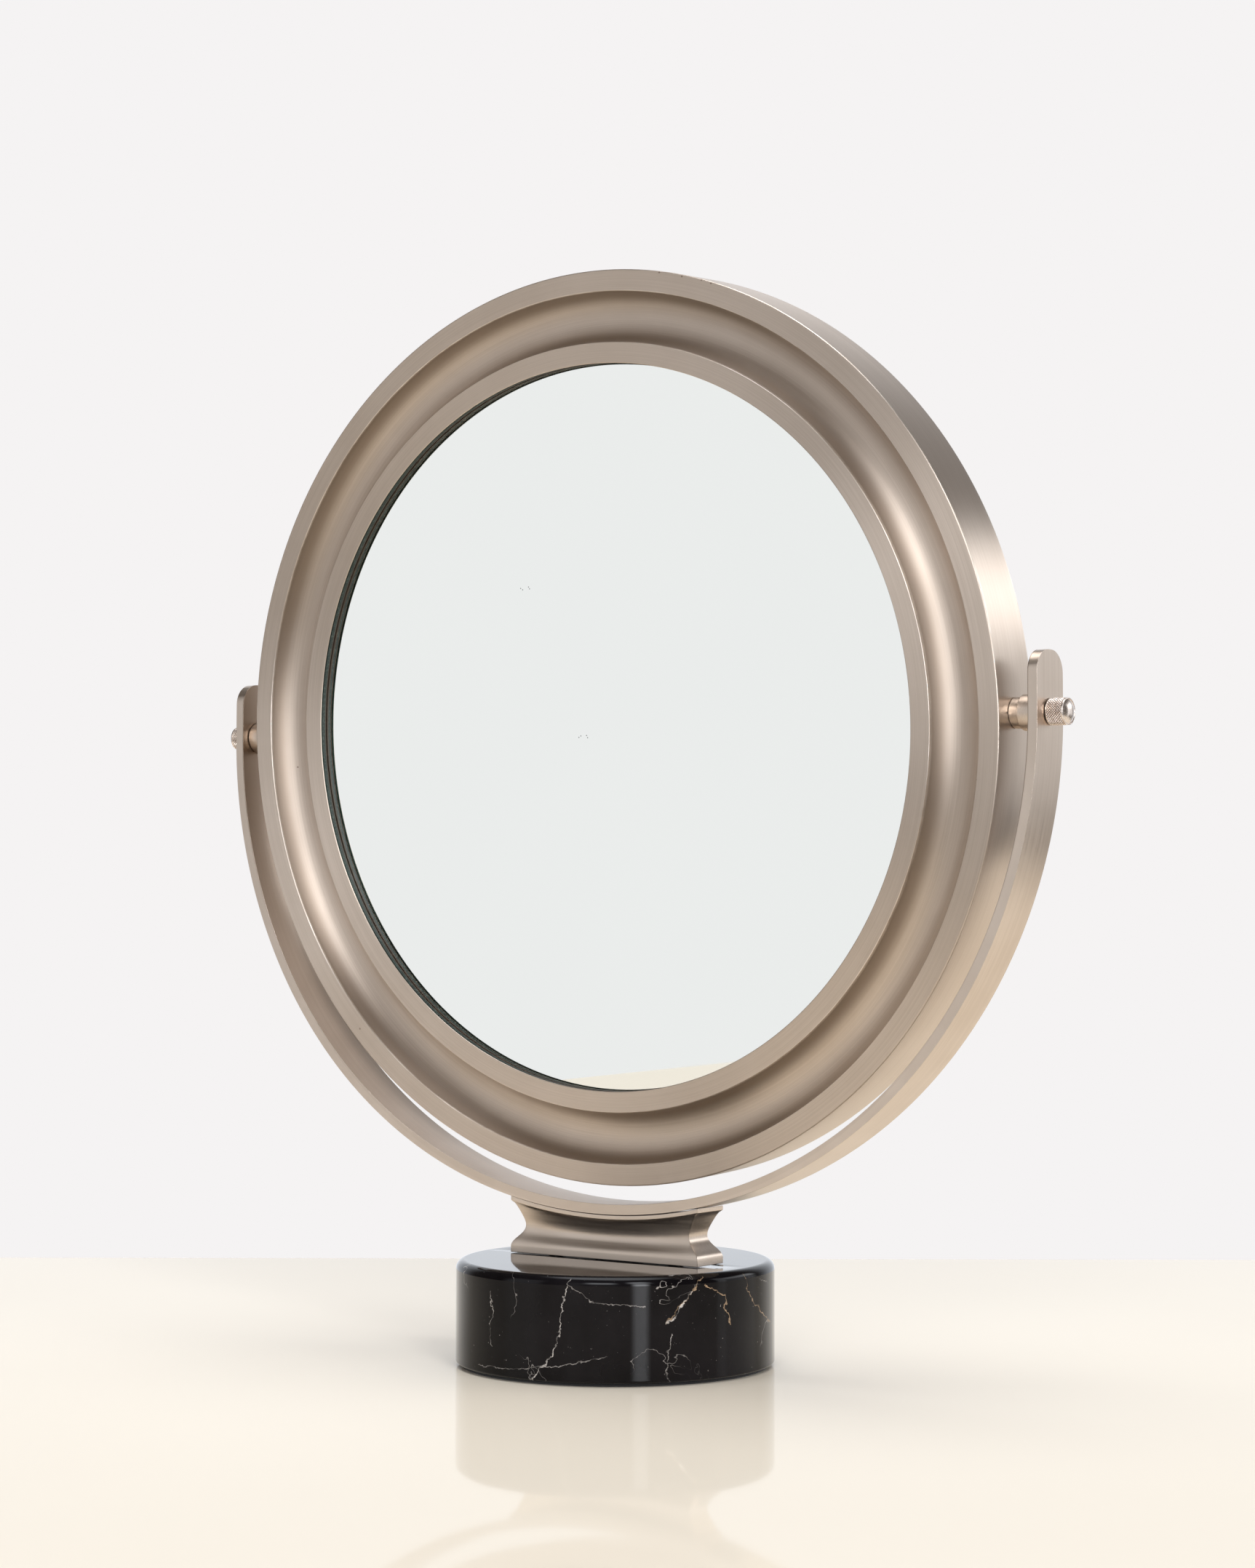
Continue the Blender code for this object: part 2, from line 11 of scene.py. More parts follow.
import bmesh
import bpy
from mathutils import Matrix, Vector


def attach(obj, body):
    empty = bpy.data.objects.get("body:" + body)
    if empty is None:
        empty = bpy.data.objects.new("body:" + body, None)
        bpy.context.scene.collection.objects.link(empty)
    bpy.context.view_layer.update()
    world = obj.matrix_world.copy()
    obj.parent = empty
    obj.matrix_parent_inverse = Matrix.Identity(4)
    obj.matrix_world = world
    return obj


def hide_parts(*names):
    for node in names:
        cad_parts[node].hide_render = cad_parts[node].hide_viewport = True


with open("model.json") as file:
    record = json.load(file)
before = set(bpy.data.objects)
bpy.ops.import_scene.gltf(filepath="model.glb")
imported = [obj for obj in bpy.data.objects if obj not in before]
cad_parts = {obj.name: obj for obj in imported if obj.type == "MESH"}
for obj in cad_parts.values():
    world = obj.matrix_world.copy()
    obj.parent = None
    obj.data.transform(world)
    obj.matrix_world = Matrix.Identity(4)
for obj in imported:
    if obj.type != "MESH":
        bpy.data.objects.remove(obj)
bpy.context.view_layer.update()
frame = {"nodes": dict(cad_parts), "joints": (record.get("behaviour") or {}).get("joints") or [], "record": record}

# ---------------------------------------------------------------- dimensions
PIVOT = Vector(next(j["pos_m"] for j in frame["joints"] if j["name"] == "head_tilt"))
FIT_GAP = 0.0003

HEAD_RADIUS = 0.186
HEAD_TILT = radians(2.9)
BAND_HALF_DEPTH = 0.0132
BAND_WALL = 0.002
OUTER_LIP_WIDTH = 0.0087
COVE_WIDTH = 0.0209
COVE_DEPTH = 0.009
COVE_WALL = 0.0016
INNER_LIP_WIDTH = 0.0085
INNER_LIP_RISE = 0.0007
LIP_THICKNESS = 0.002
INNER_LIP_THICKNESS = 0.0012
RING_STEPS = 256

GLASS_RADIUS = 0.1512
GLASS_THICKNESS = 0.004
GASKET_THICKNESS = 0.0025
GASKET_SETBACK = 0.0004
GASKET_RADIUS = 0.154

RING_SCREW_COUNT = 6
RING_SCREW_CIRCLE = 0.1808
RING_SCREW_SHANK = 0.00125
RING_SCREW_HEAD = 0.002

YOKE_SIDE_RADIUS = 0.1966
YOKE_FLATTENING = 0.0033
YOKE_FLATTENING_POWER = 5.5
YOKE_THICKNESS = 0.0041
YOKE_WIDTH = 0.0203
YOKE_ARM_RISE = 0.0235
YOKE_TIP_RADIUS = 0.0088
YOKE_SCREW_SPACING = 0.024
YOKE_SCREW_SHANK = 0.002
YOKE_SCREW_HEAD = 0.0038
YOKE_SCREW_LENGTH = 0.013

BUSH_RADIUS = 0.00695
BUSH_COLLAR_RADIUS = 0.0060
BUSH_COLLAR_LENGTH = 0.0038
BUSH_SPIGOT_RADIUS = 0.004
BUSH_SPIGOT_END = 0.1764
BUSH_BORE_RADIUS = 0.0027

THUMB_RADIUS = 0.0052
THUMB_LENGTH = 0.0075
THUMB_DOME = 0.0014
THUMB_SHANK_RADIUS = 0.0024
THUMB_TIP = 0.181
THUMB_RIM = 0.0005
THUMB_GROOVE = 0.00025
THUMB_CHAMFER = 0.0003

FOOT_RADIUS = 0.0645
FOOT_TOP = 0.0423
FOOT_TOP_ROUND = 0.0037
FOOT_BOTTOM_ROUND = 0.001
PAD_RADIUS = 0.062
PAD_THICKNESS = 0.0012

PEDESTAL_LENGTH = 0.0932
PEDESTAL_DEPTH = 0.0182
PEDESTAL_END_WAIST = 0.0058
PEDESTAL_FACE_WAIST = 0.0026
PEDESTAL_FOOT_LIP = 0.0024
PEDESTAL_TOP_LIP = 0.0018

FOOT_BOLT_SPACING = 0.060
FOOT_BOLT_SHANK = 0.003
FOOT_BOLT_REACH = 0.012
COUNTERBORE_RADIUS = 0.010
COUNTERBORE_TOP = 0.0135

PAST_THE_PART = 0.01      # how far a through hole's cutter goes on
PAST_THE_TIP = 0.001      # room left beyond a screw's tip
RING_SINK_ABOVE = 0.002
RING_SINK_REACH = 0.004
YOKE_SINK_ABOVE = 0.0001
YOKE_SINK_REACH = 0.006

LIP_FRONT = BAND_HALF_DEPTH + INNER_LIP_RISE
LIP_BACK = LIP_FRONT - INNER_LIP_THICKNESS
COVE_OUTER = HEAD_RADIUS - OUTER_LIP_WIDTH
COVE_INNER = COVE_OUTER - COVE_WIDTH
OPENING_RADIUS = COVE_INNER - INNER_LIP_WIDTH
BAND_INNER = HEAD_RADIUS - BAND_WALL
GLASS_FRONT = LIP_BACK - GASKET_THICKNESS - 2 * FIT_GAP
GLASS_BACK = GLASS_FRONT - GLASS_THICKNESS
YOKE_OUTER_AT_PIVOT = YOKE_SIDE_RADIUS + YOKE_THICKNESS
FOOT_UNDERSIDE = PAD_THICKNESS + FIT_GAP

# The head's own frame: X along the pivots, Y up the glass, Z out of the front.
HEAD_FRAME = Matrix.Translation(PIVOT) @ Matrix.Rotation(pi / 2 + HEAD_TILT, 4, "X")
REAR_FRAME = HEAD_FRAME @ Matrix.Rotation(pi, 4, "X")


# ------------------------------------------------------------- mesh building
def new_piece(name, shape, matrix=None):
    """An object with the mesh built in shape, which is freed."""
    mesh = bpy.data.meshes.new(name)
    shape.to_mesh(mesh)
    shape.free()
    obj = bpy.data.objects.new(name, mesh)
    bpy.context.scene.collection.objects.link(obj)
    if matrix is not None:
        obj.matrix_world = matrix
    return obj


def shade(obj, sharp_angle=35):
    """Smooth shading, but for edges sharper than an angle in degrees."""
    obj.data.shade_smooth()
    obj.data.set_sharp_from_angle(angle=radians(sharp_angle))
    return obj


def bake_modifiers(obj):
    """Replaces the mesh by what its modifiers make of it."""
    bpy.context.view_layer.update()
    evaluated = obj.evaluated_get(bpy.context.evaluated_depsgraph_get())
    mesh = bpy.data.meshes.new_from_object(evaluated)
    obj.modifiers.clear()
    obj.data = mesh
    return obj


def even_normals(obj):
    """Lets the broad faces rule the shading beside a narrow rounded edge."""
    weighted = obj.modifiers.new("even_normals", "WEIGHTED_NORMAL")
    weighted.keep_sharp = True
    weighted.weight = 80
    return obj


def ease_edges(obj, width, segments, over):
    """Bevels the edges that turn by more than an angle in degrees."""
    ease = obj.modifiers.new("eased_edges", "BEVEL")
    ease.width = width
    ease.segments = segments
    ease.limit_method = "ANGLE"
    ease.angle_limit = radians(over)
    bake_modifiers(obj)


def arc(centre, radius, start, end, steps):
    """Points of an arc in the (radius, height) plane, both ends included."""
    angles = [start + (end - start) * i / steps for i in range(steps + 1)]
    return [(centre[0] + radius * cos(a), centre[1] + radius * sin(a)) for a in angles]


def eased(points, closed=True, steps=4):
    """A profile whose corners given as (radius, height, ease) are rounded off,
    starting that far from the corner."""
    result = []
    count = len(points)
    for i, point in enumerate(points):
        ease = point[2] if len(point) > 2 else 0
        if ease == 0 or (not closed and i in (0, count - 1)):
            result.append(tuple(point[:2]))
            continue
        corner = Vector(point[:2])
        before = (Vector(points[i - 1][:2]) - corner).normalized() * ease + corner
        after = (Vector(points[(i + 1) % count][:2]) - corner).normalized() * ease + corner
        for j in range(steps + 1):
            t = j / steps
            on_curve = before * (1 - t) ** 2 + corner * 2 * t * (1 - t) + after * t**2
            result.append(tuple(on_curve))
    return result


def lathe(name, profile, steps, closed=False, matrix=None, reshape=None):
    """A solid of revolution about local Z. The profile's (radius, height) pairs
    run down the outer side. reshape(turn, radius, height) may change a radius."""
    shape = bmesh.new()
    rings = []
    for radius, height in profile:
        if radius == 0:
            rings.append([shape.verts.new((0, 0, height))])
            continue
        ring = []
        for i in range(steps):
            turn = 2 * pi * i / steps
            r = reshape(turn, radius, height) if reshape else radius
            ring.append(shape.verts.new((r * cos(turn), r * sin(turn), height)))
        rings.append(ring)
    pairs = list(zip(rings, rings[1:]))
    if closed:
        pairs.append((rings[-1], rings[0]))
    for upper, lower in pairs:
        for i in range(steps):
            j = (i + 1) % steps
            corners = [
                upper[i % len(upper)], lower[i % len(lower)],
                lower[j % len(lower)], upper[j % len(upper)],
            ]
            shape.faces.new(list(dict.fromkeys(corners)))
    bmesh.ops.recalc_face_normals(shape, faces=shape.faces)
    return shade(new_piece(name, shape, matrix))


def drill(obj, profile, matrix, steps=24):
    """Cuts a turned hollow out of a piece."""
    cutter = lathe("cutter", profile, steps, matrix=matrix)
    boolean = obj.modifiers.new("drill", "BOOLEAN")
    boolean.operation = "DIFFERENCE"
    boolean.solver = "EXACT"
    boolean.object = cutter
    bake_modifiers(obj)
    bpy.data.objects.remove(cutter, do_unlink=True)


def straight_hole(radius, reach):
    """Profile of a plain round hole, running reach both ways from its middle."""
    return [(0, reach), (radius, reach), (radius, -reach), (0, -reach)]


def side_frame(side):
    """Local Z runs outwards along the tilt axis, right for side 1."""
    return HEAD_FRAME @ Matrix.Rotation(side * pi / 2, 4, "Y")


def side_name(side):
    return "right" if side > 0 else "left"


# ---------------------------------------------------------------- node graphs
class Graph:
    """Short calls for building a node tree. Any input may be a number, a vector
    or another node's output."""

    def __init__(self, tree):
        self.nodes = tree.nodes
        self.links = tree.links

    def put(self, socket, value):
        if isinstance(value, bpy.types.NodeSocket):
            self.links.new(value, socket)
        elif hasattr(value, "__len__") and len(value) == 3 and len(socket.default_value) == 4:
            socket.default_value = (*value, 1.0)
        else:
            socket.default_value = value

    def math(self, operation, a, b=0.0, c=0.0):
        node = self.nodes.new("ShaderNodeMath")
        node.operation = operation
        for socket, value in zip(node.inputs, (a, b, c)):
            self.put(socket, value)
        return node.outputs[0]

    def vector(self, operation, a, b=(0, 0, 0)):
        node = self.nodes.new("ShaderNodeVectorMath")
        node.operation = operation
        self.put(node.inputs[0], a)
        if operation == "SCALE":
            self.put(node.inputs["Scale"], b)
        else:
            self.put(node.inputs[1], b)
        gives_number = operation in ("LENGTH", "DOT_PRODUCT", "DISTANCE")
        return node.outputs["Value" if gives_number else "Vector"]

    def split(self, vector):
        node = self.nodes.new("ShaderNodeSeparateXYZ")
        self.put(node.inputs[0], vector)
        return tuple(node.outputs)

    def join(self, x, y, z):
        node = self.nodes.new("ShaderNodeCombineXYZ")
        for socket, value in zip(node.inputs, (x, y, z)):
            self.put(socket, value)
        return node.outputs[0]

    def spread(self, value, low, high, to_low=0.0, to_high=1.0):
        """Eases from to_low to to_high while value goes from low to high."""
        node = self.nodes.new("ShaderNodeMapRange")
        node.interpolation_type = "SMOOTHSTEP"
        for name, given in (
            ("Value", value), ("From Min", low), ("From Max", high),
            ("To Min", to_low), ("To Max", to_high),
        ):
            self.put(node.inputs[name], given)
        return node.outputs[0]

    def band(self, value, middle, half, soft):
        """1 where value is within half of middle, fading out over soft."""
        away = self.math("ABSOLUTE", self.math("SUBTRACT", value, middle))
        return self.spread(away, half + soft, max(half - soft, 0.0))

    def noise(self, vector, scale, detail=2.0, roughness=0.5, distortion=0.0):
        node = self.nodes.new("ShaderNodeTexNoise")
        self.put(node.inputs["Vector"], vector)
        for name, given in (
            ("Scale", scale), ("Detail", detail), ("Roughness", roughness), ("Distortion", distortion),
        ):
            self.put(node.inputs[name], given)
        return node.outputs["Fac"]

    def mix(self, factor, a, b):
        node = self.nodes.new("ShaderNodeMix")
        node.data_type = "RGBA"
        self.put(node.inputs["Factor"], factor)
        self.put(node.inputs[6], a)
        self.put(node.inputs[7], b)
        return node.outputs[2]

    def bump(self, height, strength, distance):
        node = self.nodes.new("ShaderNodeBump")
        self.put(node.inputs["Height"], height)
        self.put(node.inputs["Strength"], strength)
        self.put(node.inputs["Distance"], distance)
        return node.outputs[0]

    def spots(self, place, centres, radius, strength):
        """Small soft dots."""
        mask = 0.0
        for centre in centres:
            away = self.vector("DISTANCE", place, centre)
            dot = self.spread(away, radius * 1.4, radius * 0.6, 0.0, strength)
            mask = self.math("MAXIMUM", mask, dot)
        return mask

    def place(self):
        return self.nodes.new("ShaderNodeTexCoord").outputs["Object"]


def new_material(name, **settings):
    """A node material, its graph and its shader, with constants set directly."""
    material = bpy.data.materials.new(name)
    material.use_nodes = True
    shader = material.node_tree.nodes["Principled BSDF"]
    graph = Graph(material.node_tree)
    for socket, value in settings.items():
        graph.put(shader.inputs[socket.replace("_", " ")], value)
    return material, graph, shader


def paint_over(graph, shader, colour, over_colour, mask, roughness, over_roughness):
    """Sets colour and roughness, going over to the second ones where mask is 1: rubbed edges with painted
    highlight on the ring, painted shade in the screw's grooves.
    """
    graph.put(shader.inputs["Base Color"], graph.mix(mask, colour, over_colour))
    spread = graph.math("MULTIPLY", mask, over_roughness)
    keep = graph.math("MULTIPLY", graph.math("SUBTRACT", 1.0, mask), roughness)
    graph.put(shader.inputs["Roughness"], graph.math("ADD", spread, keep))


# ------------------------------------------------------------------ materials
NICKEL = (0.70, 0.600, 0.515)
NICKEL_DULL = (0.62, 0.522, 0.438)
# Rubbed nickel on the lip edges, brightened as a painted highlight.
NICKEL_WORN_HIGHLIT = (0.86, 0.78, 0.70)
# Painted shade, laid on the cove walls and on the arms' inner faces.
NICKEL_PAINTED_SHADE = (0.28, 0.215, 0.165)
# Dark dirt in the ring's chips; also painted shade in the knurl's grooves.
GRIME_AND_GROOVE_SHADE = (0.30, 0.21, 0.16)
# The gasket's own green, also painted as shade on the lip's edge by the opening.
GASKET_GREEN_AND_RIM_SHADE = (0.010, 0.020, 0.016)
GASKET_FLECK = (0.075, 0.100, 0.085)
GASKET_BROWN = (0.055, 0.035, 0.022)
SPECK_BLACK = (0.02, 0.02, 0.02)

# The two tones that each of these finishes wanders between.
SCREW_TONES = ((0.74, 0.64, 0.58), (0.84, 0.76, 0.70))
MIRROR_TONES = ((0.903, 0.912, 0.882), (0.918, 0.927, 0.894))
FELT_TONES = ((0.008, 0.008, 0.009), (0.030, 0.030, 0.032))
STEEL_TONES = ((0.42, 0.41, 0.39), (0.56, 0.55, 0.53))
BOARD_TONES = ((0.17, 0.10, 0.055), (0.33, 0.21, 0.12))
TABLE_TONES = ((0.865, 0.775, 0.645), (0.885, 0.795, 0.665))

RING_BRUSH_SCALE = 2600.0    # brushed lines, counted across the grain

# Chips in the plating: (degrees round the head, radius, height above its middle).
RING_CHIPS = [
    (184.5, 0.1700, 0.0050), (70.5, 0.1853, 0.0132), (72.0, 0.1855, 0.0130), (75.0, 0.1852, 0.0132),
    (78.5, 0.1854, 0.0131), (352.0, 0.1772, 0.0132), (224.0, 0.1815, 0.0132),
]


def rubbed_highlit_edges(g, place, radius, height):
    """Broken bright rubbing along the edges of the lips, partly painted highlight."""
    edges = None
    for edge in (HEAD_RADIUS, COVE_OUTER, COVE_INNER):
        near = g.band(radius, edge, 0.0002, 0.0002)
        edges = near if edges is None else g.math("MAXIMUM", edges, near)
    front = g.spread(height, BAND_HALF_DEPTH - 0.0012, BAND_HALF_DEPTH - 0.0005)
    rubbed = g.spread(g.noise(place, 60.0, 3.0, 0.6), 0.34, 0.62, 0.15, 0.8)
    return g.math("MULTIPLY", g.math("MULTIPLY", edges, front), rubbed)


def shaded_cove_walls(g, radius, turn_x):
    """Painted shade on the cove's two walls, each missing from one side of the head."""
    middle = (COVE_OUTER + COVE_INNER) / 2
    outer = g.spread(radius, middle + 0.22 * COVE_WIDTH, middle + 0.44 * COVE_WIDTH)
    outer = g.math("MULTIPLY", outer, g.spread(radius, COVE_OUTER + 0.0001, COVE_OUTER - 0.0002))
    outer = g.math("MULTIPLY", outer, g.spread(turn_x, 0.80, 0.35))
    inner = g.spread(radius, middle - 0.20 * COVE_WIDTH, middle - 0.44 * COVE_WIDTH)
    inner = g.math("MULTIPLY", inner, g.spread(radius, COVE_INNER - 0.0001, COVE_INNER + 0.0002))
    inner = g.math("MULTIPLY", inner, g.spread(turn_x, -0.65, 0.0))
    return g.math("MULTIPLY", g.math("MAXIMUM", outer, inner), 0.8)


def dark_rim(g, radius, height):
    """1 on the edge of the opening, next to the glass, where shade is painted."""
    rim = g.spread(radius, OPENING_RADIUS + 0.0005, OPENING_RADIUS + 0.0002)
    return g.math("MULTIPLY", rim, g.spread(height, LIP_FRONT - 0.0002, LIP_FRONT - 0.0005))


def brushed_ring_material():
    """Satin nickel, brushed round the ring, rougher on its faces than on the band,
    with bright rubbed edges that are partly painted highlight, painted shade on
    the cove walls and at the opening's edge, and small chips."""
    material, g, shader = new_material("brushed_nickel_ring", Metallic=1.0, Anisotropic_Rotation=0.25)
    place = g.place()
    x, y, z = g.split(place)
    flat = g.join(x, y, 0.0)
    radius = g.vector("LENGTH", flat)
    height = g.math("ABSOLUTE", z)
    turn_x, turn_y, _ = g.split(g.vector("NORMALIZE", flat))
    across = g.math(
        "ADD", g.math("MULTIPLY", radius, RING_BRUSH_SCALE), g.math("MULTIPLY", z, RING_BRUSH_SCALE)
    )
    grain = g.join(g.math("MULTIPLY", turn_x, 2.0), g.math("MULTIPLY", turn_y, 2.0), across)
    lines = g.noise(grain, 1.0, 3.0, 0.6)
    cloud = g.noise(place, 26.0, 3.0, 0.55)
    shift = g.math("ADD", g.math("MULTIPLY", lines, 0.7), g.math("MULTIPLY", cloud, 0.3))
    colour = g.mix(g.spread(shift, 0.34, 0.66), NICKEL_DULL, NICKEL)
    # Painted shade on the cove walls.
    colour = g.mix(shaded_cove_walls(g, radius, turn_x), colour, NICKEL_PAINTED_SHADE)
    chips = [
        (r * cos(radians(turn)), r * sin(radians(turn)), chip_height)
        for turn, r, chip_height in RING_CHIPS
    ]
    colour = g.mix(g.spots(place, chips, 0.0004, 0.8), colour, GRIME_AND_GROOVE_SHADE)
    # Painted shade, in the gasket's green, on the lip's edge by the opening.
    colour = g.mix(dark_rim(g, radius, height), colour, GASKET_GREEN_AND_RIM_SHADE)
    on_face = g.spread(height, BAND_HALF_DEPTH - 0.0009, BAND_HALF_DEPTH - 0.0004)
    inside = g.spread(radius, HEAD_RADIUS - 0.0004, HEAD_RADIUS - 0.0008)
    on_face = g.math("MAXIMUM", on_face, inside)
    satin = g.math("MULTIPLY_ADD", on_face, 0.16, g.spread(lines, 0.25, 0.75, 0.28, 0.34))
    # Rubbed lip edges, partly painted highlight.
    paint_over(g, shader, colour, NICKEL_WORN_HIGHLIT, rubbed_highlit_edges(g, place, radius, height), satin, 0.25)
    g.put(shader.inputs["Anisotropic"], g.spread(on_face, 0.0, 1.0, 0.7, 0.8))
    tangent = g.nodes.new("ShaderNodeTangent")
    tangent.direction_type = "RADIAL"
    tangent.axis = "Z"
    g.put(shader.inputs["Tangent"], tangent.outputs[0])
    g.put(shader.inputs["Normal"], g.bump(lines, 0.03, 0.0002))
    return material


def brushed_bar_material(name, axis_noise, contrast=1.0, roughness=0.29, inside=None):
    """Satin nickel with fine marks along a bar. axis_noise squeezes the noise
    along the bar, so its marks are long that way. contrast is the depth of the
    marks. inside, from the graph and the place, gives 1 where shade is painted
    on an inner face."""
    material, g, shader = new_material(name, Metallic=1.0)
    place = g.place()
    along = g.vector("MULTIPLY", place, axis_noise)
    lines = g.noise(along, 1.0, 2.0, 0.5)
    cloud = g.noise(place, 40.0, 2.0, 0.5)
    shift = g.math("ADD", g.math("MULTIPLY", lines, 0.5), g.math("MULTIPLY", cloud, 0.5))
    colour = g.mix(g.spread(shift, 0.32, 0.68), NICKEL_DULL, NICKEL)
    if inside:
        # Painted shade on the inner face.
        colour = g.mix(inside(g, place), colour, NICKEL_PAINTED_SHADE)
    g.put(shader.inputs["Base Color"], colour)
    g.put(shader.inputs["Roughness"], g.spread(lines, 0.3, 0.7, roughness - 0.03, roughness + 0.03))
    g.put(shader.inputs["Normal"], g.bump(lines, 0.02 * contrast, 0.0001))
    return material


def yoke_inside_shade(g, place):
    """1 on the inner face of the arms, where shade is painted, fading out down the yoke."""
    x, _, z = g.split(place)
    rise = g.math("SUBTRACT", z, PIVOT.z)
    reach = g.vector("LENGTH", g.join(x, 0.0, g.math("MINIMUM", rise, 0.0)))
    face = g.spread(reach, YOKE_SIDE_RADIUS + 0.0006, YOKE_SIDE_RADIUS + 0.0001)
    return g.math("MULTIPLY", face, g.spread(rise, -0.11, -0.02, 0.1, 0.85))


def polished_screw_material():
    """Bright nickel with painted shade down in the knurl's grooves."""
    material, g, shader = new_material("polished_nickel_screw", Metallic=1.0)
    place = g.place()
    x, y, z = g.split(place)
    radius = g.vector("LENGTH", g.join(x, y, 0.0))
    # Painted shade down in the knurl's grooves.
    groove_shade = g.spread(radius, THUMB_RADIUS - 0.00034, THUMB_RADIUS - 0.00012, 1.0, 0.0)
    side = g.band(z, YOKE_OUTER_AT_PIVOT + THUMB_LENGTH / 2, THUMB_LENGTH / 2 - 0.0006, 0.0003)
    mask = g.math("MULTIPLY", groove_shade, side)
    fleck = g.noise(place, 700.0, 3.0, 0.6)
    colour = g.mix(fleck, *SCREW_TONES)
    paint_over(g, shader, colour, GRIME_AND_GROOVE_SHADE, mask, g.spread(fleck, 0.3, 0.7, 0.22, 0.30), 0.45)
    return material


GLASS_SPECKS = [
    (-0.0402, 0.0584), (-0.0392, 0.0578), (-0.0356, 0.0580), (-0.0361, 0.0588),
    (-0.0122, -0.0042), (-0.0112, -0.0036), (-0.0078, -0.0044), (-0.0083, -0.0035),
]


def mirror_material():
    """Silvered glass with a faint green cast and a few dark specks."""
    material, g, shader = new_material("mirror_glass", Metallic=1.0)
    place = g.place()
    haze = g.noise(place, 9.0, 2.0, 0.5)
    colour = g.mix(haze, *MIRROR_TONES)
    specks = g.spots(place, [(*spot, GLASS_FRONT) for spot in GLASS_SPECKS], 0.00025, 0.75)
    colour = g.mix(specks, colour, SPECK_BLACK)
    g.put(shader.inputs["Base Color"], colour)
    g.put(shader.inputs["Roughness"], g.spread(haze, 0.3, 0.7, 0.010, 0.022))
    return material


# Veins round the foot's side and over its edge, as (degrees from the front
# towards +X, height in mm), with a half width in mm and a strength.
WHITE_VEINS = [
    (0.18, 0.9, [(20.7, 42), (17.7, 31), (16.2, 23), (15.6, 17), (12.8, 10.5), (5.8, 0.6)]),
    (0.10, 0.5, [(19.6, 39), (29, 32), (47, 31)]),
    (0.14, 0.7, [(56, 20), (54, 13), (53.5, 7), (55, 1)]),
    (0.08, 0.45, [(-21, 5), (-1.6, 5), (13.6, 7.6), (33, 11.6)]),
    (0.12, 0.6, [(-14, 34), (-12, 27), (-13.5, 21), (-12.6, 13)]),
    (0.20, 0.9, [(64, 36), (60, 31), (56, 26), (54, 24)]),
]
TAN_VEINS = [
    (0.20, 0.8, [(68, 42), (62, 33), (57, 29), (54, 24)]),
    (0.24, 0.9, [(69.6, 38), (76.8, 33.5), (78.5, 27), (80.6, 22)]),
    (0.18, 0.8, [(87.7, 41), (89, 35), (94, 29), (102, 23), (120, 14)]),
    (0.16, 0.6, [(150, 40), (158, 28), (171, 18), (176, 5)]),
    (0.14, 0.5, [(-62, 38), (-70, 26), (-84, 17), (-95, 4)]),
    (0.16, 0.6, [(-140, 42), (-128, 30), (-131, 16), (-118, 6)]),
]
MARBLE_BLACK = (0.0022, 0.0018, 0.0024)
MARBLE_CLOUD = (0.0080, 0.0068, 0.0082)
MARBLE_WHITE = (0.66, 0.61, 0.57)
MARBLE_TAN = (0.42, 0.29, 0.18)


def vein(g, turn, height, half, points):
    """1 on a broken line through points, in (degrees, mm) round the foot."""
    mm_per_degree = 1000 * FOOT_RADIUS * pi / 180
    reach = None
    for (a0, h0), (a1, h1) in zip(points, points[1:]):
        span = ((a1 - a0) * mm_per_degree, h1 - h0)
        length = hypot(*span)
        along = (span[0] / length, span[1] / length, 0.0)
        here = g.join(
            g.math("MULTIPLY", g.math("SUBTRACT", turn, a0), mm_per_degree),
            g.math("SUBTRACT", height, h0), 0.0,
        )
        far = g.math("MINIMUM", g.math("MAXIMUM", g.vector("DOT_PRODUCT", here, along), 0.0), length)
        away = g.vector("LENGTH", g.vector("SUBTRACT", here, g.vector("SCALE", along, far)))
        reach = away if reach is None else g.math("MINIMUM", reach, away)
    return g.spread(reach, half + 0.16, half * 0.3)


def veins(g, turn, height, fade, lines):
    mask = 0.0
    for half, strength, points in lines:
        one = g.math("MULTIPLY", vein(g, turn, height, half, points), strength)
        mask = g.math("MAXIMUM", mask, one)
    return g.math("MULTIPLY", mask, fade)


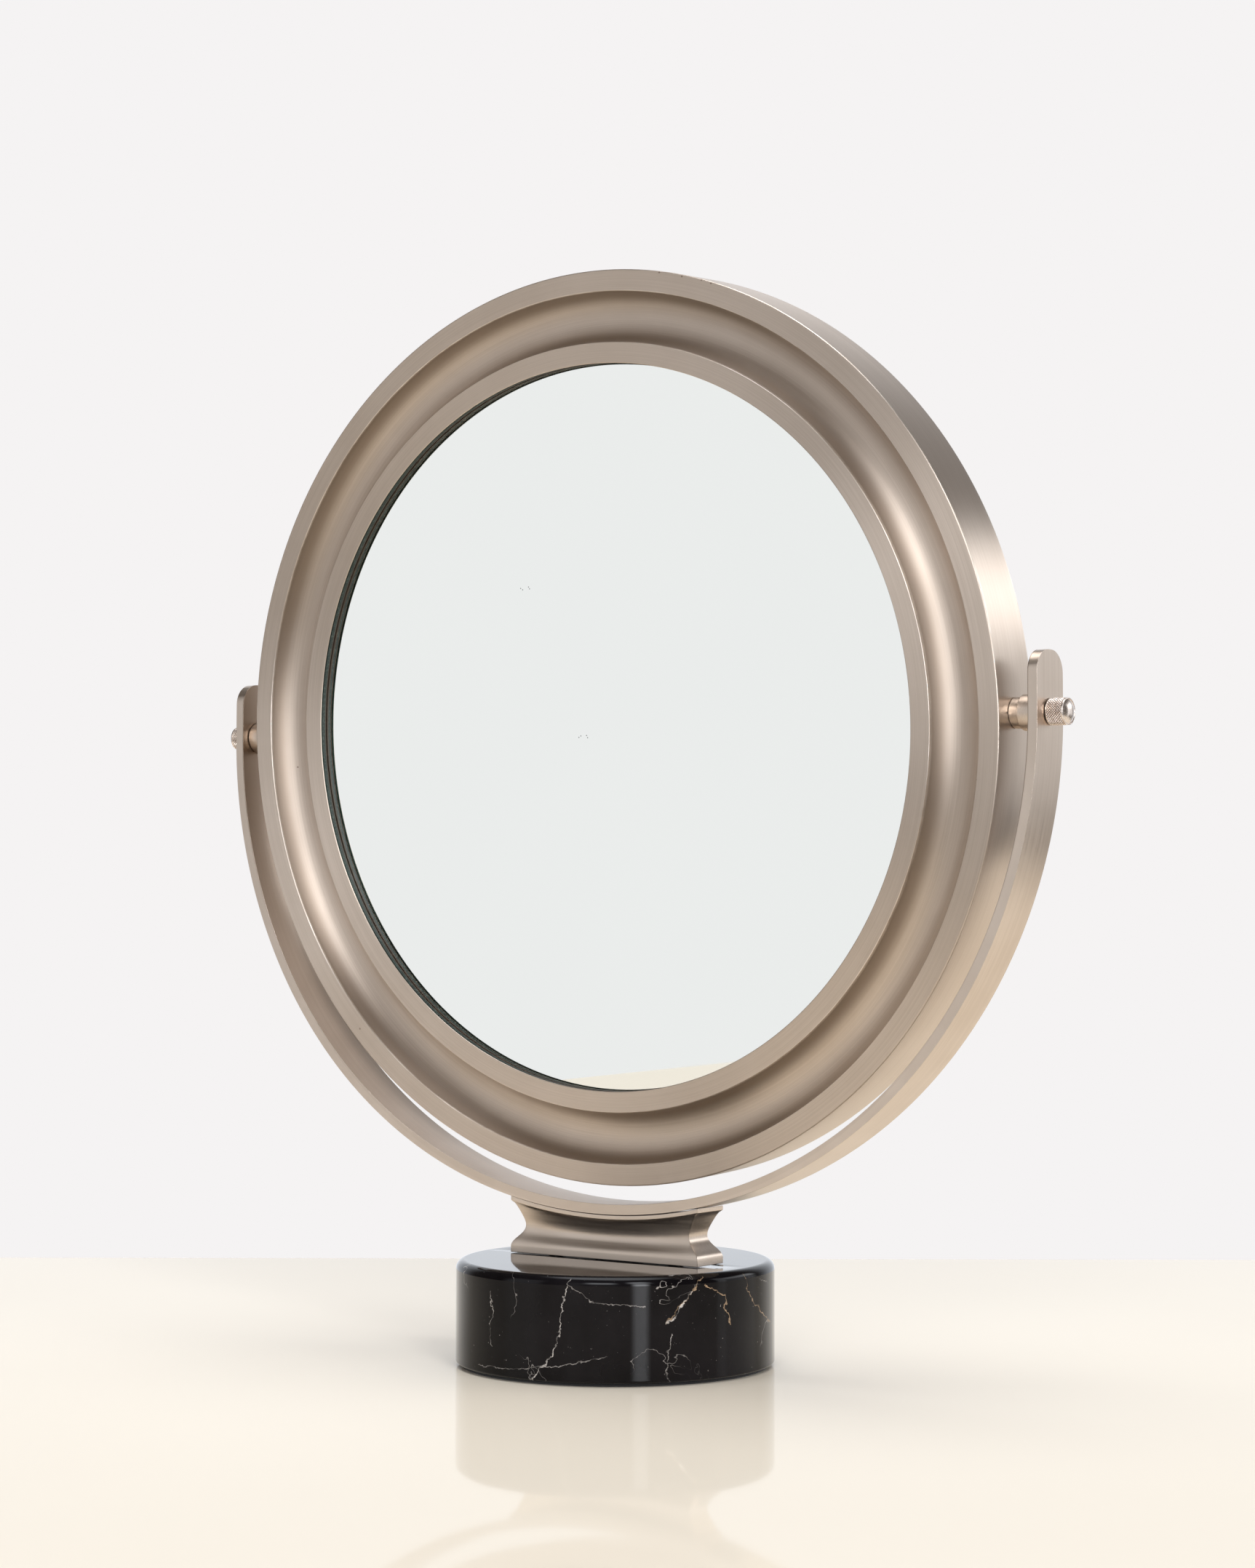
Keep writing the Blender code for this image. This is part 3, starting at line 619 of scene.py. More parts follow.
def marble_material():
    """Polished near-black marble with thin white and tan veins."""
    material, g, shader = new_material(
        "black_marble", Metallic=0.0, IOR=1.08,
        Coat_Weight=1.0, Coat_IOR=1.24, Coat_Roughness=0.03,
    )
    place = g.place()
    wobble = g.noise(place, 60.0, 5.0, 0.72)
    cloud = g.noise(place, 22.0, 4.0, 0.6)
    colour = g.mix(g.spread(cloud, 0.35, 0.75), MARBLE_BLACK, MARBLE_CLOUD)
    x, y, z = g.split(place)
    turn = g.math("MULTIPLY", g.math("ARCTAN2", x, g.math("MULTIPLY", y, -1.0)), 180 / pi)
    bend = g.math("MULTIPLY", g.math("SUBTRACT", wobble, 0.5), 2.5)
    jag = g.math("MULTIPLY", g.math("SUBTRACT", g.noise(place, 240.0, 3.0, 0.6), 0.5), 4.5)
    turn = g.math("ADD", g.math("ADD", turn, bend), jag)
    inwards = g.math("SUBTRACT", FOOT_RADIUS, g.vector("LENGTH", g.join(x, y, 0.0)))
    height = g.math("MULTIPLY", g.math("ADD", z, inwards), 1000.0)
    sway = g.math("MULTIPLY", g.math("SUBTRACT", g.noise(place, 190.0, 3.0, 0.7), 0.5), 4.0)
    height = g.math("ADD", height, sway)
    fade = g.spread(g.noise(place, 190.0, 3.0, 0.6), 0.36, 0.60, 0.12, 1.0)
    tan = veins(g, turn, height, fade, TAN_VEINS)
    white = veins(g, turn, height, fade, WHITE_VEINS)
    threads = g.math("ABSOLUTE", g.math("SUBTRACT", g.noise(place, 21.0, 5.0, 0.62, 0.4), 0.5))
    threads = g.spread(threads, 0.0035, 0.0, 0.0, 0.5)
    threads = g.math("MULTIPLY", threads, g.spread(g.noise(place, 34.0, 2.0, 0.5), 0.50, 0.66))
    speck = g.spread(g.noise(place, 900.0, 2.0, 0.5), 0.72, 0.80, 0.0, 0.35)
    white = g.math("MAXIMUM", g.math("MAXIMUM", white, threads), speck)
    colour = g.mix(tan, colour, MARBLE_TAN)
    colour = g.mix(white, colour, MARBLE_WHITE)
    g.put(shader.inputs["Base Color"], colour)
    g.put(shader.inputs["Roughness"], g.spread(wobble, 0.3, 0.7, 0.06, 0.12))
    return material


def gasket_material():
    """Dark green packing, flecked, brown next to the glass."""
    material, g, shader = new_material("dark_gasket", Metallic=0.0)
    place = g.place()
    fleck = g.noise(place, 900.0, 3.0, 0.6)
    colour = g.mix(g.spread(fleck, 0.45, 0.75), GASKET_GREEN_AND_RIM_SHADE, GASKET_FLECK)
    behind = LIP_BACK - FIT_GAP - 0.7 * GASKET_THICKNESS
    depth = g.math("ABSOLUTE", g.split(place)[2])
    colour = g.mix(g.spread(depth, behind + 0.0002, behind - 0.0002), colour, GASKET_BROWN)
    g.put(shader.inputs["Base Color"], colour)
    g.put(shader.inputs["Roughness"], g.spread(fleck, 0.3, 0.7, 0.45, 0.65))
    g.put(shader.inputs["Normal"], g.bump(fleck, 0.2, 0.0002))
    return material


def felt_material():
    material, g, shader = new_material("foot_felt", Metallic=0.0, Sheen_Weight=0.3)
    fluff = g.noise(g.place(), 1800.0, 4.0, 0.7)
    g.put(shader.inputs["Base Color"], g.mix(fluff, *FELT_TONES))
    g.put(shader.inputs["Roughness"], g.spread(fluff, 0.2, 0.8, 0.85, 1.0))
    g.put(shader.inputs["Normal"], g.bump(fluff, 0.6, 0.0003))
    return material


def steel_material():
    material, g, shader = new_material("plain_steel", Metallic=1.0)
    turned = g.noise(g.vector("MULTIPLY", g.place(), (900.0, 900.0, 300.0)), 1.0, 3.0, 0.6)
    g.put(shader.inputs["Base Color"], g.mix(turned, *STEEL_TONES))
    g.put(shader.inputs["Roughness"], g.spread(turned, 0.3, 0.7, 0.28, 0.42))
    g.put(shader.inputs["Normal"], g.bump(turned, 0.08, 0.0002))
    return material


def board_material():
    material, g, shader = new_material("core_board", Metallic=0.0)
    fibre = g.noise(g.vector("MULTIPLY", g.place(), (1.0, 1.0, 3.0)), 420.0, 4.0, 0.7)
    g.put(shader.inputs["Base Color"], g.mix(fibre, *BOARD_TONES))
    g.put(shader.inputs["Roughness"], g.spread(fibre, 0.3, 0.7, 0.78, 0.92))
    g.put(shader.inputs["Normal"], g.bump(fibre, 0.3, 0.0004))
    return material


def table_material():
    material, g, shader = new_material("cream_table", Metallic=0.0, IOR=1.09)
    cloud = g.noise(g.place(), 5.0, 3.0, 0.5)
    g.put(shader.inputs["Base Color"], g.mix(cloud, *TABLE_TONES))
    g.put(shader.inputs["Roughness"], g.spread(cloud, 0.3, 0.7, 0.04, 0.05))
    return material


# ----------------------------------------------------------------------- head
def cove_circle():
    """Centre and radius of the cove's section, which joins both lips."""
    outer = (COVE_OUTER, BAND_HALF_DEPTH)
    inner = (COVE_INNER, LIP_FRONT)
    chord = (inner[0] - outer[0], inner[1] - outer[1])
    half = hypot(*chord) / 2
    radius = (half**2 + COVE_DEPTH**2) / (2 * COVE_DEPTH)
    rise = radius - COVE_DEPTH
    normal = (-chord[1] / (2 * half), chord[0] / (2 * half))
    middle = ((outer[0] + inner[0]) / 2, (outer[1] + inner[1]) / 2)
    return (middle[0] - normal[0] * rise, middle[1] - normal[1] * rise), radius


def ring_face(under_lip):
    """Section of a ring's face, from under its outer lip inwards along the back
    and out again along the front, with its lips' edges eased."""
    centre, radius = cove_circle()
    back = radius + COVE_WALL
    start = asin((under_lip - centre[1]) / back)
    end = -pi - asin((LIP_BACK - centre[1]) / back)
    behind = arc(centre, back, start, end, 18)
    start = atan2(LIP_FRONT - centre[1], COVE_INNER - centre[0])
    end = atan2(BAND_HALF_DEPTH - centre[1], COVE_OUTER - centre[0])
    before = arc(centre, radius, start, end, 36)
    crisp = 0.0003
    lip = [(OPENING_RADIUS, LIP_BACK, crisp), (OPENING_RADIUS, LIP_FRONT, crisp * 1.5)]
    cove = [(*before[0], crisp)] + before[1:-1] + [(*before[-1], crisp)]
    return behind + lip + cove


def make_head_shell(material):
    under_lip = BAND_HALF_DEPTH - LIP_THICKNESS
    profile = [
        (HEAD_RADIUS, BAND_HALF_DEPTH, 0.0007), (HEAD_RADIUS, -BAND_HALF_DEPTH, 0.0005),
        (BAND_INNER, -BAND_HALF_DEPTH), (BAND_INNER, under_lip),
    ]
    profile = eased(profile + ring_face(under_lip))
    shell = lathe("mirror_frame_shell", profile, RING_STEPS, closed=True, matrix=HEAD_FRAME)
    hole = straight_hole(BUSH_SPIGOT_RADIUS + FIT_GAP, HEAD_RADIUS + PAST_THE_PART)
    drill(shell, hole, side_frame(1))
    finish_piece(shell, "head", "brushed_nickel", material, "head_shell")


def make_rear_ring(material):
    edge = BAND_INNER - FIT_GAP
    under_lip = BAND_HALF_DEPTH - LIP_THICKNESS
    profile = [(edge, BAND_HALF_DEPTH, 0.0003), (edge, under_lip)]
    profile = eased(profile + ring_face(under_lip))
    ring = lathe("rear_frame_ring", profile, RING_STEPS, closed=True, matrix=REAR_FRAME)
    depth = RING_SCREW_HEAD - RING_SCREW_SHANK
    head = RING_SCREW_HEAD + FIT_GAP
    shank = RING_SCREW_SHANK + FIT_GAP
    sink = [
        (0, RING_SINK_ABOVE), (head, RING_SINK_ABOVE), (head, 0),
        (shank, -depth), (shank, -RING_SINK_REACH), (0, -RING_SINK_REACH),
    ]
    sink_face = BAND_HALF_DEPTH - FIT_GAP
    for i in range(RING_SCREW_COUNT):
        angle = (i + 0.5) * 2 * pi / RING_SCREW_COUNT
        spot = (RING_SCREW_CIRCLE * cos(angle), RING_SCREW_CIRCLE * sin(angle), sink_face)
        drill(ring, sink, REAR_FRAME @ Matrix.Translation(spot))
    finish_piece(ring, "head", "brushed_nickel", material, "rear_ring")


def make_glazing(glass_material, gasket_finish):
    """Front and rear mirror glass, each behind its gasket."""
    arris = 0.0008
    high = LIP_BACK - FIT_GAP
    low = high - GASKET_THICKNESS
    inner = OPENING_RADIUS + GASKET_SETBACK
    for name, matrix in (("front", HEAD_FRAME), ("rear", REAR_FRAME)):
        profile = [
            (0, GLASS_FRONT), (GLASS_RADIUS - arris, GLASS_FRONT), (GLASS_RADIUS, GLASS_FRONT - arris),
            (GLASS_RADIUS, GLASS_BACK + arris), (GLASS_RADIUS - arris, GLASS_BACK), (0, GLASS_BACK),
        ]
        glass = lathe(f"{name}_mirror_glass", profile, RING_STEPS, matrix=matrix)
        finish_piece(glass, "head", "mirror_glass", glass_material, f"{name}_glass")
        soft = 0.0004
        profile = eased([
            (GASKET_RADIUS, high, soft), (GASKET_RADIUS, low, soft),
            (inner, low, soft), (inner, high, soft),
        ])
        gasket = lathe(f"{name}_gasket_ring", profile, RING_STEPS, closed=True, matrix=matrix)
        finish_piece(gasket, "head", "dark_gasket", gasket_finish, f"{name}_gasket")


# --------------------------------------------------------------------- pivots
def make_bush(side, material):
    inner = HEAD_RADIUS + FIT_GAP / 2
    outer = YOKE_SIDE_RADIUS - FIT_GAP
    soft = 0.0004
    step = inner + BUSH_COLLAR_LENGTH
    profile = eased([
        (BUSH_RADIUS, outer, soft), (BUSH_RADIUS, step, soft), (BUSH_COLLAR_RADIUS, step),
        (BUSH_COLLAR_RADIUS, inner, soft / 2), (BUSH_SPIGOT_RADIUS, inner),
        (BUSH_SPIGOT_RADIUS, BUSH_SPIGOT_END, soft), (BUSH_BORE_RADIUS, BUSH_SPIGOT_END, soft / 2),
        (BUSH_BORE_RADIUS, outer, soft / 2),
    ])
    name = side_name(side)
    bush = lathe(f"{name}_bush_turned", profile, 64, closed=True, matrix=side_frame(side))
    finish_piece(bush, "head", "brushed_nickel", material, f"{name}_pivot_bush")


KNURL_TEETH = 32
KNURL_DEPTH = 0.00036
KNURL_MARGIN = 0.0006
KNURL_SHARPNESS = 1.9


def knurled(turn, radius, height):
    """Diamond knurl between the thumb screw's two plain rims."""
    start = YOKE_OUTER_AT_PIVOT + FIT_GAP + KNURL_MARGIN
    end = YOKE_OUTER_AT_PIVOT + FIT_GAP + THUMB_LENGTH - KNURL_MARGIN
    if radius < THUMB_RADIUS - 0.0001 or not start < height < end:
        return radius
    around = turn * KNURL_TEETH / (2 * pi)
    lean = (height - start) * KNURL_TEETH / (2 * pi * THUMB_RADIUS)
    near = min(abs((around + way * lean) % 1.0 - 0.5) * 2 for way in (-1, 1))
    return radius - KNURL_DEPTH * max(0.0, 1 - near * KNURL_SHARPNESS)


def make_thumb_screw(side, material):
    """A domed head with a groove round it, a knurled barrel and a plain shank."""
    face = YOKE_OUTER_AT_PIVOT + FIT_GAP
    end = face + THUMB_LENGTH
    rim = THUMB_RADIUS - THUMB_RIM
    rim_edge = rim + 0.0001
    dome_height = THUMB_DOME + THUMB_GROOVE
    sphere = (rim**2 + dome_height**2) / (2 * dome_height)
    spread = asin(rim / sphere)
    dome_rows = 12
    dome = []
    for i in range(dome_rows + 1):
        lean = spread * i / dome_rows
        dome.append((sphere * sin(lean), end + THUMB_DOME - sphere * (1 - cos(lean))))
    rows = 64
    knurl_start = end - KNURL_MARGIN
    knurl_end = face + KNURL_MARGIN
    barrel = [
        (THUMB_RADIUS, knurl_start + (knurl_end - knurl_start) * i / rows) for i in range(rows + 1)
    ]
    head = eased([(rim_edge, end), (THUMB_RADIUS, end, 0.0002), barrel[0]], closed=False)
    profile = dome[:-1] + [(rim, end - THUMB_GROOVE), (rim_edge, end)] + head[1:] + barrel[1:]
    profile += [
        (THUMB_RADIUS, face + THUMB_CHAMFER), (THUMB_RADIUS - THUMB_CHAMFER, face),
        (THUMB_SHANK_RADIUS, face), (THUMB_SHANK_RADIUS, THUMB_TIP + THUMB_CHAMFER),
        (THUMB_SHANK_RADIUS - THUMB_CHAMFER, THUMB_TIP), (0, THUMB_TIP),
    ]
    name = side_name(side)
    steps = KNURL_TEETH * 12
    screw = lathe(f"{name}_knurled_screw", profile, steps, matrix=side_frame(side), reshape=knurled)
    finish_piece(screw, f"{name}_screw", "polished_nickel", material, f"{name}_thumb_screw")


# ----------------------------------------------------------------------- yoke
def yoke_inner_radius(angle):
    """Distance of the yoke's inner face from the pivot, angle from +X."""
    down = max(0.0, -sin(angle))
    return YOKE_SIDE_RADIUS - YOKE_FLATTENING * down**YOKE_FLATTENING_POWER


def yoke_underside(x):
    """Height of the yoke's outer face above the table, near the bottom."""
    angle = -acos(x / (YOKE_SIDE_RADIUS + YOKE_THICKNESS - YOKE_FLATTENING))
    radius = yoke_inner_radius(angle) + YOKE_THICKNESS
    return PIVOT.z + radius * sin(angle)


def yoke_stations():
    """(x, z, half width) along the inner face, from the left tip to the right."""
    tip_steps = 10
    arc_steps = 180
    tips = []
    for i in range(tip_steps + 1):
        turn = pi / 2 * i / tip_steps
        down = YOKE_TIP_RADIUS * (1 - cos(turn))
        half_width = YOKE_WIDTH / 2 - YOKE_TIP_RADIUS * (1 - sin(turn))
        tips.append((PIVOT.z + YOKE_ARM_RISE - down, half_width))
    stations = [(-YOKE_SIDE_RADIUS, z, half_width) for z, half_width in tips]
    for i in range(arc_steps + 1):
        angle = pi + pi * i / arc_steps
        radius = yoke_inner_radius(angle)
        stations.append((radius * cos(angle), PIVOT.z + radius * sin(angle), YOKE_WIDTH / 2))
    stations += [(YOKE_SIDE_RADIUS, z, half_width) for z, half_width in reversed(tips)]
    return stations


def make_yoke(material):
    """A strip along the yoke's inner face, thickened outwards and drilled. Its
    screws' sinks stop just short of the face, so no head shows."""
    shape = bmesh.new()
    front = []
    back = []
    for x, z, half_width in yoke_stations():
        front.append(shape.verts.new((x, -half_width, z)))
        back.append(shape.verts.new((x, half_width, z)))
    for i in range(len(front) - 1):
        shape.faces.new((front[i], front[i + 1], back[i + 1], back[i]))
    yoke = new_piece("yoke_bar", shape)
    thicken = yoke.modifiers.new("thickness", "SOLIDIFY")
    thicken.thickness = YOKE_THICKNESS
    thicken.offset = -1.0
    thicken.use_even_offset = True
    ease_edges(yoke, 0.0005, 3, 50)
    reach = YOKE_OUTER_AT_PIVOT + PAST_THE_PART
    drill(yoke, straight_hole(THUMB_SHANK_RADIUS + FIT_GAP, reach), side_frame(1))
    head = YOKE_SCREW_HEAD + FIT_GAP
    shank = YOKE_SCREW_SHANK + FIT_GAP
    sink = [
        (0, YOKE_SINK_ABOVE), (head, YOKE_SINK_ABOVE), (head, 0),
        (shank, shank - head), (shank, -YOKE_SINK_REACH), (0, -YOKE_SINK_REACH),
    ]
    sink_face = PIVOT.z - yoke_inner_radius(-pi / 2) - FIT_GAP
    for x in (-YOKE_SCREW_SPACING / 2, YOKE_SCREW_SPACING / 2):
        drill(yoke, sink, Matrix.Translation((x, 0, sink_face)))
    shade(yoke)
    finish_piece(yoke, "stand", "brushed_nickel", material, "yoke")


# ------------------------------------------------------------------- pedestal
def scotia(rise):
    """How far in the waist is, from 0 to 1, fuller towards the top."""
    return max(0.0, sin(pi * rise)) ** (2.0 - 1.4 * rise)


def pedestal_levels(steps=28):
    """(height above the foot, fraction of the way up, inset) up the sides."""
    levels = [("foot", 0.0, 0.0)]
    levels += [("waist", i / steps, scotia(i / steps)) for i in range(steps + 1)]
    levels += [("top", 1.0, 0.0)]
    return levels


def pedestal_height(kind, rise, x):
    """Height of a point on the block's side, whose top follows the yoke."""
    bottom = FOOT_TOP + FIT_GAP
    top = yoke_underside(x) - FIT_GAP
    if kind == "foot":
        return bottom
    if kind == "top":
        return top
    low = bottom + PEDESTAL_FOOT_LIP
    high = top - PEDESTAL_TOP_LIP
    return low + (high - low) * rise


def make_pedestal(material):
    """Rings of points, one above another, round a long block whose top follows
    the yoke. Every ring has its points at the same fractions of the length."""
    along = 40
    shape = bmesh.new()
    rings = []
    for kind, rise, inset in pedestal_levels():
        half_length = PEDESTAL_LENGTH / 2 - PEDESTAL_END_WAIST * inset
        half_depth = PEDESTAL_DEPTH / 2 - PEDESTAL_FACE_WAIST * inset
        xs = [half_length * (2 * i / along - 1) for i in range(along + 1)]
        front = [shape.verts.new((x, -half_depth, pedestal_height(kind, rise, x))) for x in xs]
        back = [shape.verts.new((x, half_depth, pedestal_height(kind, rise, x))) for x in xs]
        rings.append((front, back))
    for (front, back), (front_above, back_above) in zip(rings, rings[1:]):
        for i in range(along):
            shape.faces.new((front[i], front[i + 1], front_above[i + 1], front_above[i]))
            shape.faces.new((back[i + 1], back[i], back_above[i], back_above[i + 1]))
        shape.faces.new((front[-1], back[-1], back_above[-1], front_above[-1]))
        shape.faces.new((back[0], front[0], front_above[0], back_above[0]))
    for i in range(along):
        front, back = rings[0]
        shape.faces.new((front[i + 1], front[i], back[i], back[i + 1]))
        front, back = rings[-1]
        shape.faces.new((front[i], front[i + 1], back[i + 1], back[i]))
    pedestal = new_piece("pedestal_block", shape)
    ease_edges(pedestal, 0.00025, 2, 40)
    bolt_hole = straight_hole(FOOT_BOLT_SHANK + FIT_GAP, FOOT_BOLT_REACH + PAST_THE_TIP)
    screw_reach = YOKE_SCREW_LENGTH - YOKE_THICKNESS + PAST_THE_TIP
    screw_hole = straight_hole(YOKE_SCREW_SHANK + FIT_GAP, screw_reach)
    for hole, spacing, height in (
        (bolt_hole, FOOT_BOLT_SPACING, FOOT_TOP), (screw_hole, YOKE_SCREW_SPACING, yoke_underside(0)),
    ):
        for x in (-spacing / 2, spacing / 2):
            drill(pedestal, hole, Matrix.Translation((x, 0, height)))
    shade(pedestal, 30)
    finish_piece(pedestal, "stand", "brushed_nickel", material, "pedestal")


# ----------------------------------------------------------------------- foot
def make_foot(material):
    top_round = arc(
        (FOOT_RADIUS - FOOT_TOP_ROUND, FOOT_TOP - FOOT_TOP_ROUND), FOOT_TOP_ROUND, pi / 2, 0, 12
    )
    bottom_round = arc(
        (FOOT_RADIUS - FOOT_BOTTOM_ROUND, FOOT_UNDERSIDE + FOOT_BOTTOM_ROUND),
        FOOT_BOTTOM_ROUND, 0, -pi / 2, 6,
    )
    profile = [(0, FOOT_TOP)] + top_round + bottom_round + [(0, FOOT_UNDERSIDE)]
    foot = lathe("marble_foot_polished", profile, 192)
    bolt = FOOT_BOLT_SHANK + 2 * FIT_GAP
    for x in (-FOOT_BOLT_SPACING / 2, FOOT_BOLT_SPACING / 2):
        hole = [
            (0, FOOT_TOP + PAST_THE_PART), (bolt, FOOT_TOP + PAST_THE_PART), (bolt, COUNTERBORE_TOP),
            (COUNTERBORE_RADIUS, COUNTERBORE_TOP), (COUNTERBORE_RADIUS, 0), (0, 0),
        ]
        drill(foot, hole, Matrix.Translation((x, 0, 0)), 32)
    finish_piece(foot, "stand", "black_marble", material, "marble_foot")
    return foot


def make_pad(material):
    soft = 0.00045
    profile = eased(
        [(0, PAD_THICKNESS), (PAD_RADIUS, PAD_THICKNESS, soft), (PAD_RADIUS, 0, soft), (0, 0)], closed=False
    )
    pad = lathe("felt_foot_pad", profile, 192)
    finish_piece(pad, "stand", "foot_felt", material, "foot_pad")


# -------------------------------------------------------------------- dressing
def finish_piece(obj, body, slot, material, *nodes):
    """Gives a piece its material, and has it stand for its CAD nodes."""
    obj.data.materials.clear()
    obj.data.materials.append(material)
    even_normals(obj)
    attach(obj, body)
    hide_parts(*nodes)


def dress_fixings(steel, board):
    """Better materials on the CAD nodes that no piece here stands for."""
    for part in frame["record"]["subparts"]:
        node = frame["nodes"][part["node"]]
        finish = {"plain_steel": steel, "core_board": board}.get(part["material_slot"])
        if finish is None:
            continue
        node.data.materials.clear()
        node.data.materials.append(finish)


# ----------------------------------------------------------------------- stage
CAMERA_YAW = radians(35.7625)     # round from the front towards +X
CAMERA_PITCH = radians(4.2374)    # looking up
CAMERA_ROLL = radians(0.1078)
CAMERA_LENS = 75.66
CAMERA_SENSOR = 36.0
CAMERA_CLIP = (0.05, 50.0)
CAMERA_SHIFT = -0.0901
CAMERA_OFFSET = Vector((-0.024284, -0.184085, 7.267218)) * HEAD_RADIUS

TABLE_BEHIND = 0.38
TABLE_BEFORE = 0.52
TABLE_HALF_WIDTH = 0.80
TABLE_THICKNESS = 0.03
TABLE_ROUND = 0.002
BACKDROP = (0.913, 0.896, 0.896)


def view_axes():
    """The camera's right, up and forward directions."""
    forward = Vector((-sin(CAMERA_YAW), cos(CAMERA_YAW), 0))
    level_right = Vector((cos(CAMERA_YAW), sin(CAMERA_YAW), 0))
    up = Vector((0, 0, 1))
    ahead = forward * cos(CAMERA_PITCH) + up * sin(CAMERA_PITCH)
    above = up * cos(CAMERA_PITCH) - forward * sin(CAMERA_PITCH)
    right = level_right * cos(CAMERA_ROLL) + above * sin(CAMERA_ROLL)
    above = above * cos(CAMERA_ROLL) - level_right * sin(CAMERA_ROLL)
    return right, above, ahead


def make_camera():
    right, above, ahead = view_axes()
    camera = bpy.data.objects.new("camera", bpy.data.cameras.new("camera"))
    bpy.context.scene.collection.objects.link(camera)
    camera.data.lens = CAMERA_LENS
    camera.data.sensor_width = CAMERA_SENSOR
    camera.data.shift_y = CAMERA_SHIFT
    camera.data.clip_start, camera.data.clip_end = CAMERA_CLIP
    x, y, z = CAMERA_OFFSET
    place = PIVOT - (right * x + above * y + ahead * z)
    turn = Matrix((right, above, -ahead)).transposed()
    camera.matrix_world = Matrix.Translation(place) @ turn.to_4x4()
    bpy.context.scene.camera = camera


def make_table(material):
    """A table top whose far edge lies across the view."""
    shape = bmesh.new()
    bmesh.ops.create_cube(shape, size=1.0)
    depth = TABLE_BEHIND + TABLE_BEFORE
    bmesh.ops.scale(shape, vec=(2 * TABLE_HALF_WIDTH, depth, TABLE_THICKNESS), verts=shape.verts)
    bmesh.ops.translate(
        shape, vec=(0, (TABLE_BEHIND - TABLE_BEFORE) / 2, -TABLE_THICKNESS / 2), verts=shape.verts
    )
    bmesh.ops.bevel(
        shape, geom=shape.edges[:], offset=TABLE_ROUND, segments=3, affect="EDGES", profile=0.5
    )
    table = new_piece("table_top", shape, Matrix.Rotation(CAMERA_YAW, 4, "Z"))
    table.data.materials.append(material)


def light_panel(g, azimuth, elevation, centre, half, soft, strength):
    """Light from a soft-edged panel. centre and half are (azimuth, elevation) in
    degrees, azimuth from the front towards +X."""
    turn = g.math("WRAP", g.math("SUBTRACT", azimuth, radians(centre[0])), pi, -pi)
    across = g.band(turn, 0.0, radians(half[0]), radians(soft))
    upright = g.band(elevation, radians(centre[1]), radians(half[1]), radians(soft))
    return g.math("MULTIPLY", g.math("MULTIPLY", across, upright), strength)


# (azimuth, elevation), (half width, half height), softness, all in degrees, then
# strength.
PANELS = [
    ((-34, 8), (14, 25), 6, 0.82),
    ((7, 5), (6, 25), 4, 0.45),
    ((28, 0), (10, 20), 4, 0.35),
    ((25, 25), (10, 9), 5, 7.0),
    ((54, 3), (5, 14), 3, 15.0),
    ((54, 32), (7, 10), 5, 10.0),
    ((118, 5), (4, 25), 2, 1.5),
    ((138, 3), (18, 13), 5, 0.85),
    ((140, 21), (18, 6), 5, 3.0),
    ((0, 90), (180, 22), 8, 4.6),
]
PANEL_TINT = (0.970, 1.0, 1.04)
ROOM_DARK = (0.110, 0.096, 0.084)
ROOM_BEHIND = (0.94, 0.98, 1.04)
ROOM_BEHIND_SIDES = (0.50, 0.85)    # how far round it brightens, as a cosine
ROOM_BEHIND_TOP = (0.75, 0.45)      # where it fades out upwards, as a sine


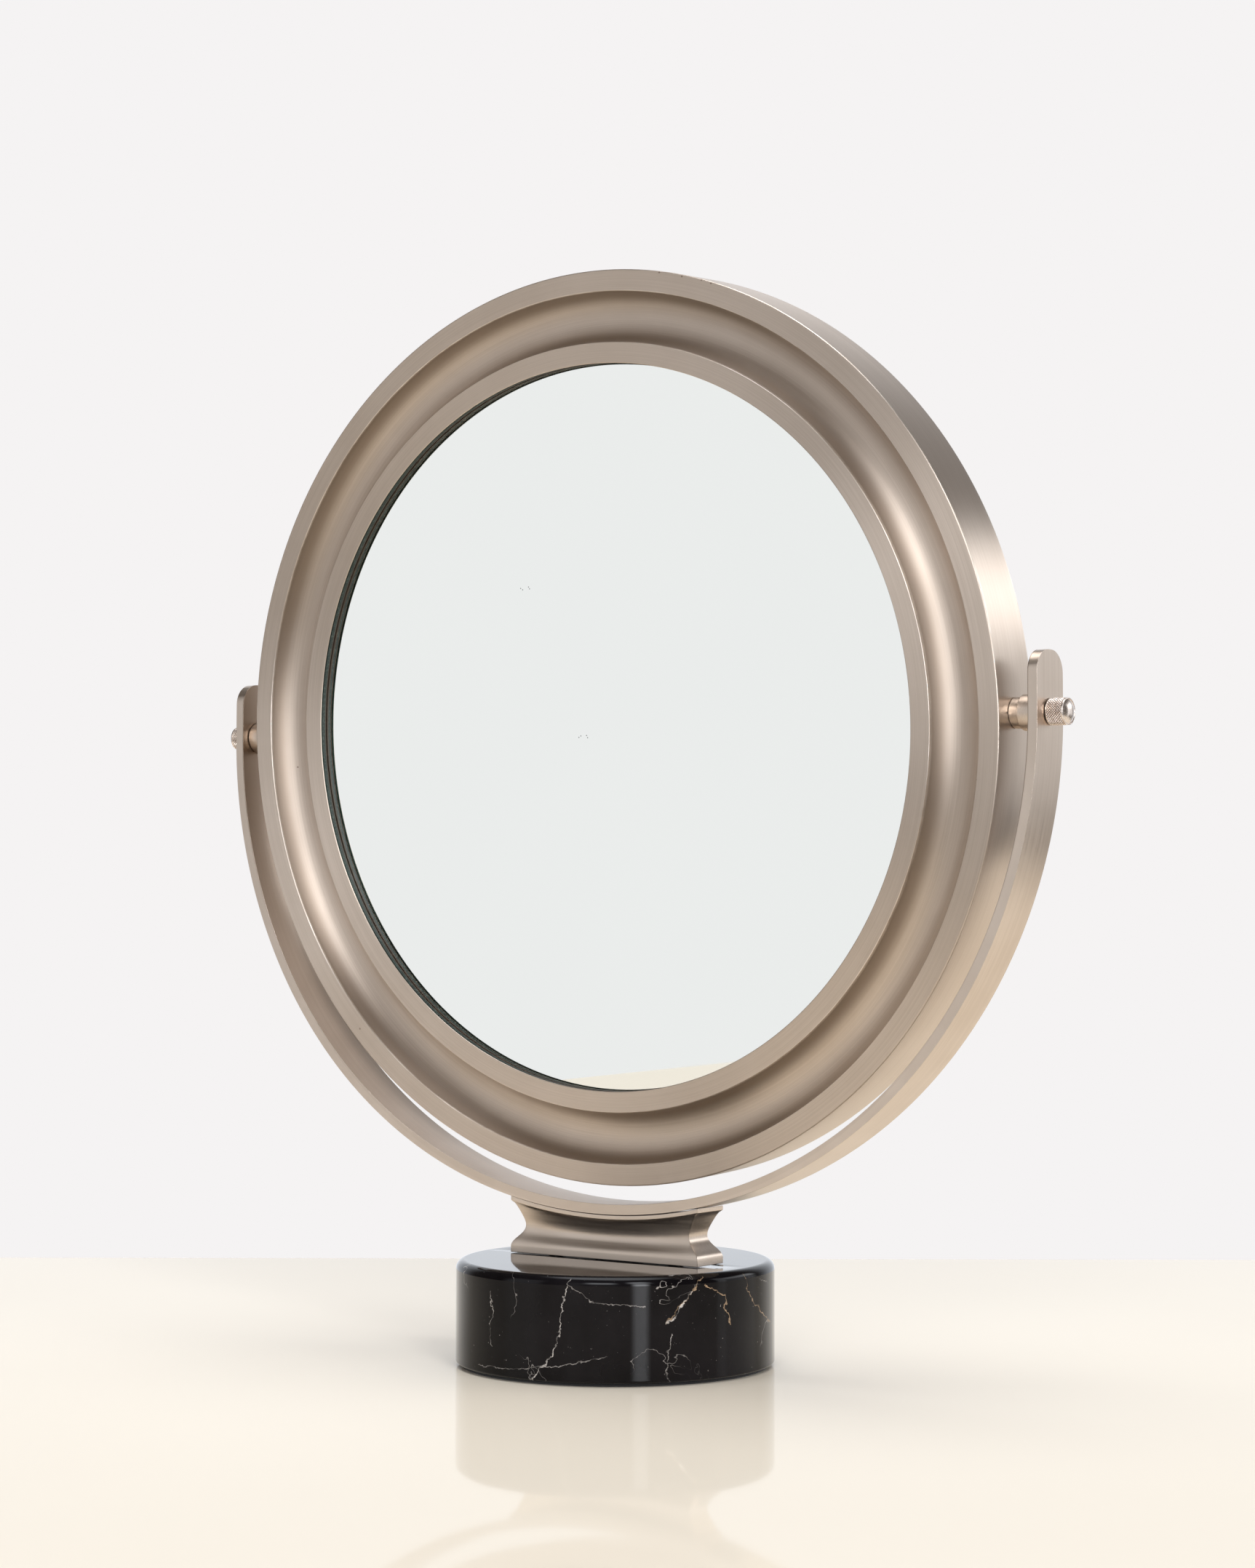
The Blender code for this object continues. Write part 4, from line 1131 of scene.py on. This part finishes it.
def make_world():
    """A dim room with light panels, bright on the far side of the mirror. The
    camera sees a plain backdrop in its place."""
    world = bpy.data.worlds.new("studio")
    world.use_nodes = True
    tree = world.node_tree
    tree.nodes.clear()
    g = Graph(tree)
    way = tree.nodes.new("ShaderNodeTexCoord").outputs["Generated"]
    way = g.vector("NORMALIZE", way)
    x, y, z = g.split(way)
    azimuth = g.math("ARCTAN2", x, g.math("MULTIPLY", y, -1.0))
    elevation = g.math("ARCSINE", z)
    panels = 0.0
    for centre, half, soft, strength in PANELS:
        panel = light_panel(g, azimuth, elevation, centre, half, soft, strength)
        panels = g.math("ADD", panels, panel)
    away = g.vector("DOT_PRODUCT", way, (-sin(CAMERA_YAW), cos(CAMERA_YAW), 0.0))
    behind = g.math("MULTIPLY", g.spread(away, *ROOM_BEHIND_SIDES), g.spread(z, *ROOM_BEHIND_TOP))
    panels = g.vector("SCALE", PANEL_TINT, panels)
    colour = g.vector("ADD", g.mix(behind, ROOM_DARK, ROOM_BEHIND), panels)
    room = tree.nodes.new("ShaderNodeBackground")
    g.put(room.inputs["Color"], colour)
    backdrop = tree.nodes.new("ShaderNodeBackground")
    g.put(backdrop.inputs["Color"], BACKDROP)
    seen = tree.nodes.new("ShaderNodeLightPath").outputs["Is Camera Ray"]
    choose = tree.nodes.new("ShaderNodeMixShader")
    g.put(choose.inputs[0], seen)
    g.links.new(room.outputs[0], choose.inputs[1])
    g.links.new(backdrop.outputs[0], choose.inputs[2])
    output = tree.nodes.new("ShaderNodeOutputWorld")
    g.links.new(choose.outputs[0], output.inputs["Surface"])
    bpy.context.scene.world = world


# ----------------------------------------------------------------------- build
ring_nickel = brushed_ring_material()
yoke_nickel = brushed_bar_material("brushed_nickel_bar", (9.0, 900.0, 9.0), 0.6, 0.33, yoke_inside_shade)
block_nickel = brushed_bar_material("brushed_nickel_block", (25.0, 1100.0, 1100.0), 0.3, 0.33)
bush_nickel = brushed_bar_material("turned_nickel_bush", (900.0, 900.0, 2500.0), 0.3, 0.38)
screw_nickel = polished_screw_material()

make_head_shell(ring_nickel)
make_rear_ring(ring_nickel)
make_glazing(mirror_material(), gasket_material())
for pivot_side in (-1, 1):
    make_bush(pivot_side, bush_nickel)
    make_thumb_screw(pivot_side, screw_nickel)
make_yoke(yoke_nickel)
make_pedestal(block_nickel)
marble_foot = make_foot(marble_material())
make_pad(felt_material())
dress_fixings(steel_material(), board_material())

make_table(table_material())
make_world()
make_camera()
bpy.context.scene.view_settings.view_transform = "Standard"
